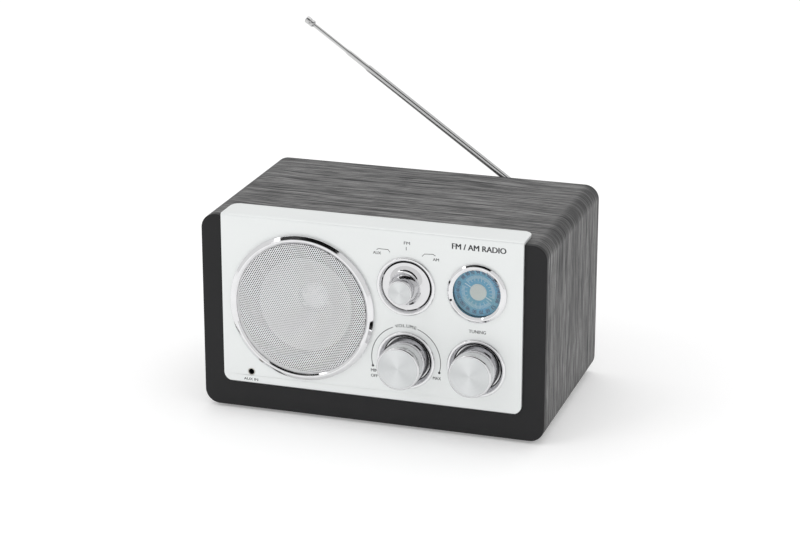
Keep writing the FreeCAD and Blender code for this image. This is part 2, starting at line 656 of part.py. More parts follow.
def speaker_basket():
    inner = SPEAKER_FLANGE_RADIUS - BASKET_FLANGE_WIDTH
    flange_back = BAFFLE_THICKNESS + SPEAKER_FLANGE_THICKNESS
    wall = SPEAKER_FLANGE_THICKNESS
    back = SPEAKER_BACK + wall
    basket = turned(SPEAKER_CENTRE, [
        (inner, BAFFLE_THICKNESS), (SPEAKER_FLANGE_RADIUS, BAFFLE_THICKNESS),
        (SPEAKER_FLANGE_RADIUS, flange_back), (inner + wall, flange_back),
        (BASKET_BACK_RADIUS, SPEAKER_BACK), (BASKET_BACK_RADIUS, back),
        (COIL_RADIUS + 2 * COIL_WALL + COIL_GAP, back),
        (COIL_RADIUS + 2 * COIL_WALL + COIL_GAP, SPEAKER_BACK),
        (BASKET_BACK_RADIUS - wall, SPEAKER_BACK)])
    for turn in (0, 90):
        window = block((-SPEAKER_FLANGE_RADIUS, SPEAKER_FLANGE_RADIUS),
                       (flange_back + BASKET_WINDOW_MARGIN, SPEAKER_BACK - BASKET_WINDOW_MARGIN),
                       (-BASKET_WINDOW_HALF, BASKET_WINDOW_HALF))
        window.rotate(V(0, 0, 0), V(0, 1, 0), turn)
        window.translate(V(SPEAKER_CENTRE[0], 0, SPEAKER_CENTRE[1]))
        basket = basket.cut(window)
    x, z = SPEAKER_CENTRE
    tab = block((x + BASKET_BACK_RADIUS - TAB_MARGIN, x + TAB_REACH), (SPEAKER_BACK, back),
                (z + TAB_DROP - TAB_MARGIN - TAB_PITCH, z + TAB_DROP + TAB_MARGIN))
    basket = basket.fuse(tab)
    for place in around(SPEAKER_CENTRE, speaker_screw_circle(), 4, 45):
        basket = basket.cut(round_bar(place, SPEAKER_SCREW_RADIUS + SCREW_CLEARANCE,
                                      BAFFLE_THICKNESS, flange_back))
    return basket.removeSplitter()


def speaker_screws():
    seat = BAFFLE_THICKNESS + SPEAKER_FLANGE_THICKNESS
    radius, height = SPEAKER_SCREW_HEAD
    screws = []
    for place in around(SPEAKER_CENTRE, speaker_screw_circle(), 4, 45):
        shank = round_bar(place, SPEAKER_SCREW_RADIUS, BAFFLE_THICKNESS - SPEAKER_SCREW_DEPTH, seat)
        screws.append(shank.fuse(round_bar(place, radius, seat, seat + height)))
    return screws


def speaker_surround():
    """Half-roll ring from the basket's inner edge to the cone's edge."""
    inner = CONE_RADIUS - CONE_THICKNESS
    roll_in = CONE_RADIUS + CONE_THICKNESS
    roll_out = roll_in + SURROUND_WIDTH
    middle = (roll_in + roll_out) / 2
    outer = SPEAKER_OPENING_RADIUS - 2 * PLATE_CLEARANCE
    back = BAFFLE_THICKNESS
    front = back - CONE_THICKNESS
    rise = SURROUND_WIDTH / 2
    return turned(SPEAKER_CENTRE, [
        (outer, back), (outer, front), (roll_out, front),
        ((middle, front - rise), (roll_in, front)), (inner, front), (inner, back), (roll_in, back),
        ((middle, back - rise), (roll_out, back))])


def cone_y(radius):
    """y of the cone's front surface at a radius, along its straight slope."""
    share = (CONE_RADIUS - radius) / (CONE_RADIUS - COIL_RADIUS)
    return BAFFLE_THICKNESS + share * (CONE_BACK - BAFFLE_THICKNESS)


def speaker_cone():
    neck = COIL_RADIUS + COIL_WALL
    return turned(SPEAKER_CENTRE, [
        (CONE_RADIUS, BAFFLE_THICKNESS), (CONE_RADIUS, BAFFLE_THICKNESS + CONE_WALL),
        (neck, cone_y(neck) + CONE_WALL), (neck, cone_y(neck))])


def speaker_dust_cap():
    edge = COIL_RADIUS + COIL_WALL + DUST_CAP_WIDTH
    front = cone_y(edge)
    crown = front - DUST_CAP_RISE
    inner = edge - CONE_THICKNESS
    ahead = dome_point(edge, DUST_CAP_RISE, crown)
    behind = dome_point(inner, DUST_CAP_RISE - CONE_THICKNESS, crown + CONE_THICKNESS)
    return turned(SPEAKER_CENTRE, [
        (0, crown), (ahead, (edge, front)), (inner, front), (behind, (0, crown + CONE_THICKNESS))])


def speaker_voice_coil():
    front = cone_y(COIL_RADIUS + COIL_WALL)
    back = MAGNET_FRONT + COIL_OVERHANG
    return pipe(SPEAKER_CENTRE, COIL_RADIUS + COIL_WALL, COIL_RADIUS, front, back)


def speaker_spider():
    """Corrugated ring that centres the voice coil on the basket's back."""
    inner = COIL_RADIUS + COIL_WALL + PLATE_CLEARANCE
    outer = BASKET_BACK_RADIUS - 2 * SPEAKER_FLANGE_THICKNESS
    back = SPEAKER_BACK
    front = back - CONE_THICKNESS
    ripple = (outer - inner) / (SPIDER_RIPPLES + 1)
    ahead = [(outer, back), (outer, front), (outer - ripple / 2, front)]
    behind = [(inner, front), (inner, back), (inner + ripple / 2, back)]
    for i in range(SPIDER_RIPPLES):
        r = outer - ripple / 2 - ripple * i
        ahead.append(((r - ripple / 2, front - SPIDER_RISE), (r - ripple, front)))
        r = inner + ripple / 2 + ripple * i
        behind.append(((r + ripple / 2, back - SPIDER_RISE), (r + ripple, back)))
    return turned(SPEAKER_CENTRE, ahead + behind)


def speaker_top_plate():
    front = SPEAKER_BACK + SPEAKER_FLANGE_THICKNESS
    return pipe(SPEAKER_CENTRE, TOP_PLATE_RADIUS, COIL_RADIUS + COIL_WALL + COIL_GAP,
                front, front + TOP_PLATE_THICKNESS)


def speaker_magnet():
    return pipe(SPEAKER_CENTRE, MAGNET_RADIUS, COIL_RADIUS + MAGNET_CLEARANCE, MAGNET_FRONT, MAGNET_BACK)


def speaker_yoke():
    front = MAGNET_FRONT - TOP_PLATE_THICKNESS
    pole = round_bar(SPEAKER_CENTRE, COIL_RADIUS - COIL_GAP, front, MAGNET_BACK)
    back = round_bar(SPEAKER_CENTRE, YOKE_RADIUS, MAGNET_BACK, MAGNET_BACK + YOKE_THICKNESS)
    return pole.fuse(back)


# ---------------------------------------------------------------- bezels and knobs
def bezel(centre, hole):
    """Dished ring: a lip on the fascia, a slope down to the dish's edge, a cup and its floor."""
    crest = FASCIA_FRONT - BEZEL_HEIGHT
    bulge = (BEZEL_RADIUS - BEZEL_BULGE[0], crest - BEZEL_BULGE[1])
    return turned(centre, [
        (hole, DISH_FLOOR), (DISH_RADIUS, DISH_FLOOR), (DISH_RADIUS, DISH_EDGE),
        (BEZEL_RADIUS - BEZEL_LIP[0], crest),
        (bulge, (BEZEL_RADIUS, crest + BEZEL_LIP[1])), (BEZEL_RADIUS, FASCIA_FRONT),
        (DISH_OUTER_RADIUS, FASCIA_FRONT), (DISH_OUTER_RADIUS, DISH_BACK), (hole, DISH_BACK)])


def panel_nuts():
    return [hex_nut(centre, BUSHING_RADIUS + SCREW_CLEARANCE, DISH_FLOOR - NUT_THICKNESS, DISH_FLOOR)
            for centre in (VOLUME_CENTRE, BAND_CENTRE)]


def control_body(body, centre):
    """Pot or switch: its body behind the baffle and its bushing through baffle and bezel."""
    front = DISH_FLOOR - BUSHING_REACH
    bushing = round_bar(centre, BUSHING_RADIUS, front, BAFFLE_THICKNESS)
    bore = round_bar(centre, RUNNING_RADIUS, front, BAFFLE_THICKNESS + CONTROL_BORE_DEPTH)
    return body.fuse(bushing).cut(bore)


def volume_pot():
    body = round_bar(VOLUME_CENTRE, POT_RADIUS, BAFFLE_THICKNESS, BAFFLE_THICKNESS + POT_DEPTH)
    width, thickness, length = POT_TAG
    z = VOLUME_CENTRE[1]
    y = BAFFLE_THICKNESS + CONTROL_BORE_DEPTH
    for i in (-1, 0, 1):
        x = VOLUME_CENTRE[0] + POT_TAG_PITCH * i
        body = body.fuse(block((x - width / 2, x + width / 2), (y, y + thickness),
                               (z - POT_RADIUS - length, z)))
    return control_body(body, VOLUME_CENTRE)


def band_switch():
    half = SWITCH_SIZE / 2
    x, z = BAND_CENTRE
    y = BAFFLE_THICKNESS
    body = rounded_block((x - half, x + half), (y, y + SWITCH_DEPTH), (z - half, z + half), SWITCH_CORNER)
    back = y + SWITCH_DEPTH
    radius, length = SWITCH_PIN
    for place in around(BAND_CENTRE, half - SWITCH_CORNER, SWITCH_PINS):
        body = body.fuse(round_bar(place, radius, back, back + length))
    return control_body(body, BAND_CENTRE)


def control_shaft(centre, reach, back):
    """Shaft from inside a knob back to y = back."""
    return round_bar(centre, SHAFT_RADIUS, CAP_THICKNESS + KNOB_FACE_DEPTH - reach, back)


def round_knob(centre, reach):
    """Turned knob: slightly tapered wall, a recess for the cap and a hub on the shaft."""
    base = DISH_FLOOR - KNOB_FLOOR_GAP
    face = -reach
    recess = face + CAP_THICKNESS
    roof = recess + KNOB_ROOF
    cap = round_cap_radius()
    knob = turned(centre, [
        (0, recess), (cap, recess), (cap, face), (KNOB_FACE_RADIUS - KNOB_EDGE, face),
        (KNOB_FACE_RADIUS, face + KNOB_EDGE), (KNOB_BASE_RADIUS, base),
        (KNOB_BASE_RADIUS - KNOB_WALL, base), (KNOB_FACE_RADIUS - KNOB_WALL, roof),
        (KNOB_HUB_RADIUS, roof), (KNOB_HUB_RADIUS, KNOB_BOSS), (0, KNOB_BOSS)])
    return knob.cut(control_shaft(centre, reach, BAFFLE_THICKNESS))


def knob_cap(centre, reach, radius):
    """Spun aluminium disc, sunk in the knob's face."""
    return round_bar(centre, radius, -reach, -reach + CAP_THICKNESS)


def round_cap_radius():
    return KNOB_FACE_RADIUS - KNOB_EDGE - CAP_RIM


def band_knob():
    """Narrow post that flares out to a flange over the dish."""
    face = -BAND_KNOB_REACH
    foot = DISH_EDGE - BAND_FLARE_GAP
    cap = BAND_FACE_RADIUS - CAP_RIM
    waist = (BAND_POST_RADIUS + BAND_WAIST[0], foot - BAND_WAIST[1])
    knob = turned(BAND_CENTRE, [
        (0, face + CAP_THICKNESS), (cap, face + CAP_THICKNESS), (cap, face),
        (BAND_FACE_RADIUS - BAND_EDGE[0], face), (BAND_FACE_RADIUS, face + BAND_EDGE[1]),
        (BAND_POST_RADIUS, foot - BAND_FLARE_RISE),
        (waist, (BAND_FLARE_RADIUS, foot - BAND_FLARE_EDGE)),
        (BAND_FLARE_RADIUS, foot), (BAND_POST_RADIUS - BAND_SKIN, foot),
        (BAND_FACE_RADIUS - BAND_SKIN, KNOB_BOSS), (0, KNOB_BOSS)])
    return knob.cut(control_shaft(BAND_CENTRE, BAND_KNOB_REACH, BAFFLE_THICKNESS))


# ---------------------------------------------------------------- dial and its gears
def dial_bezel():
    crest = FASCIA_FRONT - DIAL_RING_HEIGHT
    inner = DIAL_RING_INNER_RADIUS
    spigot = DIAL_RING_SPIGOT
    middle = (inner + BEZEL_RADIUS) / 2
    lip = crest + DIAL_LIP_DEPTH
    seat = lip + DIAL_LIP_THICKNESS
    back = BAFFLE_THICKNESS - DIAL_RING_WALL
    return turned(DIAL_CENTRE, [
        (inner, lip), ((middle, crest), (BEZEL_RADIUS, lip)), (BEZEL_RADIUS, FASCIA_FRONT),
        (spigot + DIAL_RING_WALL, FASCIA_FRONT), (spigot + DIAL_RING_WALL, back), (spigot, back),
        (spigot, seat), (inner, seat)])


def dial_lens():
    front = FASCIA_FRONT - DIAL_RING_HEIGHT + DIAL_LIP_DEPTH + DIAL_LIP_THICKNESS
    return round_bar(DIAL_CENTRE, DIAL_RING_SPIGOT - SCREW_CLEARANCE, front, front + LENS_THICKNESS)


def dial_disc():
    disc = round_bar(DIAL_CENTRE, DISC_RADIUS, DISC_FRONT, DISC_FRONT + DISC_THICKNESS)
    back = DISC_FRONT + DISC_THICKNESS + DISC_BOSS
    boss = round_bar(DIAL_CENTRE, DIAL_SHAFT_RADIUS + BUSH_WALL, DISC_FRONT, back)
    socket = round_bar(DIAL_CENTRE, DIAL_SHAFT_RADIUS, DISC_FRONT + DISC_THICKNESS / 2, BAFFLE_THICKNESS)
    return disc.fuse(boss).cut(socket)


def dial_shaft():
    front = DISC_FRONT + DISC_THICKNESS / 2
    return round_bar(DIAL_CENTRE, DIAL_SHAFT_RADIUS, front, PLATE_BACK + DIAL_SHAFT_TAIL)


def dial_gear():
    """The tooth that meets the idler points straight down."""
    return gear(DIAL_CENTRE, DIAL_TEETH, DIAL_SHAFT_RADIUS, 270)


def idler_gear():
    """A gap between two teeth points straight down, at the pinion's tooth."""
    return gear(IDLER_CENTRE, IDLER_TEETH, IDLER_PIN_RADIUS + RUNNING_CLEARANCE,
                270 + 180.0 / IDLER_TEETH)


def tuning_pinion():
    """One tooth points straight up, into the idler's gap."""
    return gear(TUNING_CENTRE, PINION_TEETH, SHAFT_RADIUS, 90)


def idler_pin():
    radius, thickness = IDLER_PIN_HEAD
    front = GEAR_FRONT - IDLER_GAP - thickness
    pin = round_bar(IDLER_CENTRE, IDLER_PIN_RADIUS, front, PLATE_BACK)
    head = round_bar(IDLER_CENTRE, radius, front, front + thickness)
    shoulder = round_bar(IDLER_CENTRE, radius, GEAR_BACK + IDLER_GAP, PLATE_FRONT)
    return pin.fuse(head).fuse(shoulder)


def gear_plate_corners():
    """(x, z) of the four posts, outside the dial gear's circle and beside the tuning knob."""
    side = GEAR_PLATE_MARGIN - POST_RADIUS - POST_MARGIN
    top = INNER_TOP - RIM_CLEARANCE - RIM_WALL - POST_RADIUS - POST_MARGIN
    bottom = TUNING_CENTRE[1] - PINION_PITCH - GEAR_PLATE_DROP
    x = DIAL_CENTRE[0]
    return [(x - side, bottom), (x + side, bottom), (x - side, top), (x + side, top)]


def gear_plate():
    corners = gear_plate_corners()
    x = DIAL_CENTRE[0]
    plate = rounded_block((x - GEAR_PLATE_MARGIN, x + GEAR_PLATE_MARGIN), (PLATE_FRONT, PLATE_BACK),
                          (corners[0][1] - POST_RADIUS - POST_MARGIN, corners[2][1] + POST_RADIUS),
                          GEAR_PLATE_CORNER)
    dial_bore = DIAL_SHAFT_RADIUS + RUNNING_CLEARANCE
    for centre, radius in ((TUNING_CENTRE, RUNNING_RADIUS), (DIAL_CENTRE, dial_bore)):
        plate = plate.cut(round_bar(centre, radius + BUSH_WALL, PLATE_FRONT, PLATE_BACK))
    return plate.cut(round_bar(IDLER_CENTRE, IDLER_PIN_RADIUS, PLATE_FRONT, PLATE_BACK))


def gear_plate_posts():
    return [round_bar(place, POST_RADIUS, BAFFLE_THICKNESS, PLATE_FRONT) for place in gear_plate_corners()]


def shaft_bushes():
    """Front and back bushes of the tuning shaft, and the dial shaft's bush."""
    dial_bore = DIAL_SHAFT_RADIUS + RUNNING_CLEARANCE
    return [
        pipe(TUNING_CENTRE, FRONT_BUSH_RADIUS, RUNNING_RADIUS, DISH_FLOOR - BUSH_PROUD,
             BAFFLE_THICKNESS + BUSH_PROUD),
        pipe(TUNING_CENTRE, FRONT_BUSH_RADIUS, RUNNING_RADIUS, PLATE_FRONT - BUSH_PROUD,
             PLATE_BACK + BUSH_PROUD),
        pipe(DIAL_CENTRE, dial_bore + BUSH_WALL, dial_bore, PLATE_FRONT - BUSH_PROUD, PLATE_BACK)]


def tuning_capacitor():
    half = CAPACITOR_SIZE / 2
    x, z = DIAL_CENTRE
    body = rounded_block((x - half, x + half), (PLATE_BACK, PLATE_BACK + CAPACITOR_DEPTH),
                         (z - half, z + half), CAPACITOR_CORNER)
    bore = DIAL_SHAFT_RADIUS + RUNNING_CLEARANCE
    return body.cut(round_bar(DIAL_CENTRE, bore, PLATE_BACK, PLATE_BACK + DIAL_SHAFT_TAIL + SHAFT_TAIL))


def dial_lamps():
    """Two small lamps on the gear plate's front, either side below the dial's centre."""
    lamps = []
    for side in (-1, 1):
        place = (DIAL_CENTRE[0] + side * LAMP_OFFSET, DIAL_CENTRE[1] - LAMP_OFFSET)
        radius, thickness = LAMP_BASE
        base = PLATE_FRONT - thickness
        lamp = round_bar(place, LAMP_RADIUS, base - LAMP_LENGTH, base)
        lamps.append(lamp.fuse(round_bar(place, radius, base, PLATE_FRONT)))
    return lamps


# ---------------------------------------------------------------- sockets and electronics
def aux_jack():
    """Socket whose nose comes through the fascia, level with its front."""
    half = AUX_BODY_SIZE / 2
    x, z = AUX_CENTRE
    back = AUX_FLOOR + AUX_BACK_WALL
    body = rounded_block((x - half, x + half), (BAFFLE_THICKNESS, back), (z - half, z + half), AUX_CORNER)
    barrel = round_bar(AUX_CENTRE, AUX_BARREL_RADIUS, 0, BAFFLE_THICKNESS)
    nose = round_bar(AUX_CENTRE, AUX_NOSE_RADIUS, FASCIA_FRONT, 0)
    jack = body.fuse(barrel).fuse(nose)
    return jack.cut(round_bar(AUX_CENTRE, AUX_BORE_RADIUS, FASCIA_FRONT, AUX_FLOOR)).removeSplitter()


def inlet_body(grow):
    """Outside of the inlet's housing, grown all round for the rear cover's hole."""
    half_x = INLET_PIN_SPACING / 2 + INLET_RECESS_RADIUS + INLET_WALL + grow
    half_z = INLET_RECESS_RADIUS + INLET_WALL + grow
    x, z = INLET_CENTRE
    front = COVER_BACK - INLET_RECESS_DEPTH - INLET_WALL
    return rounded_block((x - half_x, x + half_x), (front, COVER_BACK), (z - half_z, z + half_z),
                         INLET_CORNERS[0])


def inlet_lobes():
    return [(INLET_CENTRE[0] + side * INLET_PIN_SPACING / 2, INLET_CENTRE[1]) for side in (-1, 1)]


def mains_inlet():
    """Two-pin inlet: a flange behind the cover, a round-ended recess and its pins."""
    width, height, thickness = INLET_FLANGE
    x, z = INLET_CENTRE
    back = COVER_BACK + thickness
    floor = COVER_BACK - INLET_RECESS_DEPTH
    flange = rounded_block((x - width / 2, x + width / 2), (COVER_BACK, back),
                           (z - height / 2, z + height / 2), INLET_CORNERS[1])
    inlet = inlet_body(0).fuse(flange)
    for lobe in inlet_lobes():
        inlet = inlet.cut(round_bar(lobe, INLET_RECESS_RADIUS, floor, back))
    half = INLET_PIN_SPACING / 2
    inlet = inlet.cut(block((x - half, x + half), (floor, back),
                            (z - INLET_RECESS_RADIUS, z + INLET_RECESS_RADIUS)))
    radius, length = INLET_PIN
    for lobe in inlet_lobes():
        inlet = inlet.fuse(round_bar(lobe, radius, floor, floor + length))
    return inlet


def main_board():
    x, y = BOARD_CORNER
    return block((x, x + BOARD_SIZE[0]), (y, y + BOARD_SIZE[1]), (BOARD_BOTTOM, BOARD_TOP))


def standoff_places():
    inset = STANDOFF_RADIUS + 1.0
    x, y = BOARD_CORNER
    return [(px, py) for px in (x + inset, x + BOARD_SIZE[0] - inset)
            for py in (y + inset, y + BOARD_SIZE[1] - inset)]


def board_standoffs():
    return [bar(V(x, y, INNER_BOTTOM), V(0, 0, 1), STANDOFF_RADIUS, BOARD_STANDOFF)
            for x, y in standoff_places()]


def board_block(corner, size):
    """Block on the board's top face, its corner measured from the board's own."""
    x = BOARD_CORNER[0] + corner[0]
    y = BOARD_CORNER[1] + corner[1]
    return block((x, x + size[0]), (y, y + size[1]), (BOARD_TOP, BOARD_TOP + size[2]))


def board_parts():
    """Smoothing capacitors, amplifier with its heat sink, tuner can and two chips."""
    radius, height = SMOOTHING_SIZE
    x, y = SMOOTHING_FIRST
    parts = [bar(V(BOARD_CORNER[0] + x + SMOOTHING_PITCH * i, BOARD_CORNER[1] + y, BOARD_TOP),
                 V(0, 0, 1), radius, height) for i in range(SMOOTHING_COUNT)]
    sink = board_block(SINK_CORNER, SINK_SIZE)
    for i in range(SINK_SLOTS):
        corner = (SINK_CORNER[0] + SINK_PITCH * (i + 0.5), SINK_CORNER[1] + SINK_WEB)
        slot = board_block(corner, (SINK_SLOT_WIDTH, SINK_SIZE[1] - SINK_WEB, SINK_SIZE[2]))
        slot.translate(V(0, 0, SINK_FOOT))
        sink = sink.cut(slot)
    parts += [sink, board_block(TUNER_CORNER, TUNER_SIZE)]
    return parts + [board_block(corner, CHIP_SIZE) for corner in CHIP_CORNERS]


def ferrite_antenna():
    """Ferrite rod for the medium wave band, its winding and its two holders."""
    x = BOARD_CORNER[0] + FERRITE_START[0]
    y = BOARD_CORNER[1] + FERRITE_START[1]
    z = BOARD_TOP + FERRITE_HEIGHT
    rod = bar(V(x, y, z), V(1, 0, 0), FERRITE_RADIUS, FERRITE_LENGTH)
    start, length, thickness = WINDING
    winding = bar(V(x + start, y, z), V(1, 0, 0), FERRITE_RADIUS + thickness, length).cut(rod)
    inset, width, wall = FERRITE_HOLDER
    half = FERRITE_RADIUS + wall
    holders = []
    for first in (x + inset, x + FERRITE_LENGTH - inset - width):
        holders.append(block((first, first + width), (y - half, y + half), (BOARD_TOP, z + half)).cut(rod))
    return [rod, winding] + holders


def transformer():
    """Laminated E and I core with its wound bobbin."""
    width, depth, height = TRANSFORMER_SIZE
    x, y = TRANSFORMER_CORNER
    middle = y + depth / 2
    stack = (middle - TRANSFORMER_STACK / 2, middle + TRANSFORMER_STACK / 2)
    leg = TRANSFORMER_TONGUE / 2
    z = INNER_BOTTOM
    core = block((x, x + width), stack, (z, z + height))
    centre = x + width / 2
    windows = [(x + leg, centre - leg), (centre + leg, x + width - leg)]
    for window in windows:
        core = core.cut(block(window, stack, (z + leg, z + height - leg)))
    coil = block((windows[0][0], windows[1][1]), (y, y + depth), (z + leg, z + height - leg))
    return [core, coil.cut(core)]


def inner_leads():
    """Wires held between the speaker, the antenna, the inlet and the board or transformer."""
    board_x, board_y = BOARD_CORNER
    x = SPEAKER_CENTRE[0] + TAB_REACH - 2.5
    z = SPEAKER_CENTRE[1] + TAB_DROP
    tag = SPEAKER_BACK + SPEAKER_FLANGE_THICKNESS
    leads = []
    for i in range(2):
        side = TAB_PITCH * i
        end = board_x + 16.0 + side
        leads.append(lead([
            (x, tag, z - side), (x, tag + 9.0, z - side), (x + 2.0, tag + 17.0, z - 15.0 - side),
            (end, board_y - 3.0, z - 29.0), (end, board_y + 3.0, BOARD_TOP + 8.0),
            (end, board_y + 3.0, BOARD_TOP)]))
    px, pz = ANTENNA_PIVOT
    tail = COVER_BACK - SWIVEL_BOSS_DEPTH
    px = px + (SWIVEL_STUB_RADIUS + SWIVEL_BOSS_RADIUS) / 2
    end = (board_x + BOARD_SIZE[0] - 10.0, board_y + BOARD_SIZE[1] - 16.0)
    leads.append(lead([
        (px, tail, pz), (px, tail - 9.0, pz), (px + 1.0, tail - 15.0, pz - 30.0),
        (end[0], end[1], BOARD_TOP + 22.0), (end[0], end[1], BOARD_TOP)]))
    ix, iz = INLET_CENTRE
    back = COVER_BACK - INLET_RECESS_DEPTH - INLET_WALL
    core_x = TRANSFORMER_CORNER[0] + TRANSFORMER_SIZE[0] / 2
    core_y = TRANSFORMER_CORNER[1] + TRANSFORMER_SIZE[1]
    for side in (-1, 1):
        reach = (back - core_y) / 3
        leads.append(lead([
            (ix + 4.0 * side, back, iz), (ix + 4.0 * side, back - reach, iz),
            (core_x + 5.0 * side, core_y + reach, iz - 3.0), (core_x + 5.0 * side, core_y, iz - 3.0)]))
    return leads


# ---------------------------------------------------------------- telescopic antenna
def antenna_place(shape):
    """Take a shape drawn along +X, with its pivot at 0, to the antenna's pivot and angle."""
    shape = shape.copy()
    shape.rotate(V(0, 0, 0), V(0, 1, 0), -(180.0 - ANTENNA_ANGLE))
    shape.translate(V(ANTENNA_PIVOT[0], ANTENNA_Y, ANTENNA_PIVOT[1]))
    return shape


def antenna_length(start, end, radius):
    return bar(V(start, 0, 0), V(1, 0, 0), radius, end - start)


def pin_half_length():
    return TONGUE_THICKNESS / 2 + EAR_CLEARANCE + EAR_THICKNESS


def pin_hole(radius):
    """Cutter for the elbow pin's hole, right through the ears."""
    half = pin_half_length()
    return bar(V(0, 0, -half), V(0, 0, 1), radius, 2 * half)


def antenna_fork():
    """Swivel: a stub through the rear cover, a flange and two ears for the elbow's pin."""
    flange_front = -ANTENNA_STANDOFF + SWIVEL_GAP
    flange_back = flange_front + SWIVEL_FLANGE_THICKNESS
    boss_front = COVER_BACK - SWIVEL_BOSS_DEPTH - ANTENNA_Y
    stub_front = boss_front - SWIVEL_HEAD[1] - SWIVEL_HEAD_GAP
    flange = bar(V(0, flange_front, 0), V(0, 1, 0), SWIVEL_FLANGE_RADIUS, SWIVEL_FLANGE_THICKNESS)
    stub = bar(V(0, stub_front, 0), V(0, 1, 0), SWIVEL_STUB_RADIUS, flange_front - stub_front)
    head = bar(V(0, stub_front, 0), V(0, 1, 0), *SWIVEL_HEAD)
    fork = flange.fuse(stub).fuse(head)
    inner = TONGUE_THICKNESS / 2 + EAR_CLEARANCE
    for side in (-1, 1):
        near = side * inner if side > 0 else side * inner - EAR_THICKNESS
        ear = block((-EAR_RADIUS, EAR_RADIUS), (flange_back, 0), (near, near + EAR_THICKNESS))
        ear = ear.fuse(bar(V(0, 0, near), V(0, 0, 1), EAR_RADIUS, EAR_THICKNESS))
        fork = fork.fuse(ear)
    return antenna_place(fork.cut(pin_hole(PIN_RADIUS)).removeSplitter())


def antenna_elbow_pin():
    half = pin_half_length()
    pin = bar(V(0, 0, -half), V(0, 0, 1), PIN_RADIUS, 2 * half)
    for start in (-half - PIN_HEAD_HEIGHT, half):
        pin = pin.fuse(bar(V(0, 0, start), V(0, 0, 1), PIN_HEAD_RADIUS, PIN_HEAD_HEIGHT))
    return antenna_place(pin)


def antenna_base_tube():
    """Tongue on the elbow's pin, a ferrule and the widest tube, open at its outer end."""
    half = TONGUE_THICKNESS / 2
    eye = bar(V(0, 0, -half), V(0, 0, 1), EYE_RADIUS, TONGUE_THICKNESS)
    tongue = block((0, FERRULE_START + TONGUE_OVERLAP), (-TONGUE_HALF_WIDTH, TONGUE_HALF_WIDTH),
                   (-half, half))
    ferrule = antenna_length(FERRULE_START, FERRULE_END, FERRULE_RADIUS)
    tube = antenna_length(FERRULE_END, BASE_TUBE_END, BASE_TUBE_RADIUS)
    solid = eye.fuse(tongue).fuse(ferrule).fuse(tube)
    solid = solid.cut(pin_hole(PIN_RADIUS + RUNNING_CLEARANCE))
    return antenna_place(solid.cut(antenna_length(FERRULE_END, BASE_TUBE_END, BASE_TUBE_BORE)))


def antenna_middle_tube():
    start = MIDDLE_TUBE_END - MIDDLE_TUBE_LENGTH
    tube = antenna_length(start, MIDDLE_TUBE_END, MIDDLE_TUBE_RADIUS)
    return antenna_place(tube.cut(antenna_length(start, MIDDLE_TUBE_END, MIDDLE_TUBE_BORE)))


def antenna_inner_rod():
    return antenna_place(antenna_length(ROD_END - ROD_LENGTH, ROD_END, ROD_RADIUS))


def antenna_tip():
    """Turned end stop with both rims chamfered."""
    tip = antenna_length(ROD_END, ROD_END + TIP_LENGTH, TIP_RADIUS)
    rims = edges_where(tip, lambda p: abs(math.hypot(p.y, p.z) - TIP_RADIUS) < 1e-6
                       and (p.x < ROD_END + 1e-6 or p.x > ROD_END + TIP_LENGTH - 1e-6))
    return antenna_place(tip.makeChamfer(TIP_CHAMFER, rims))


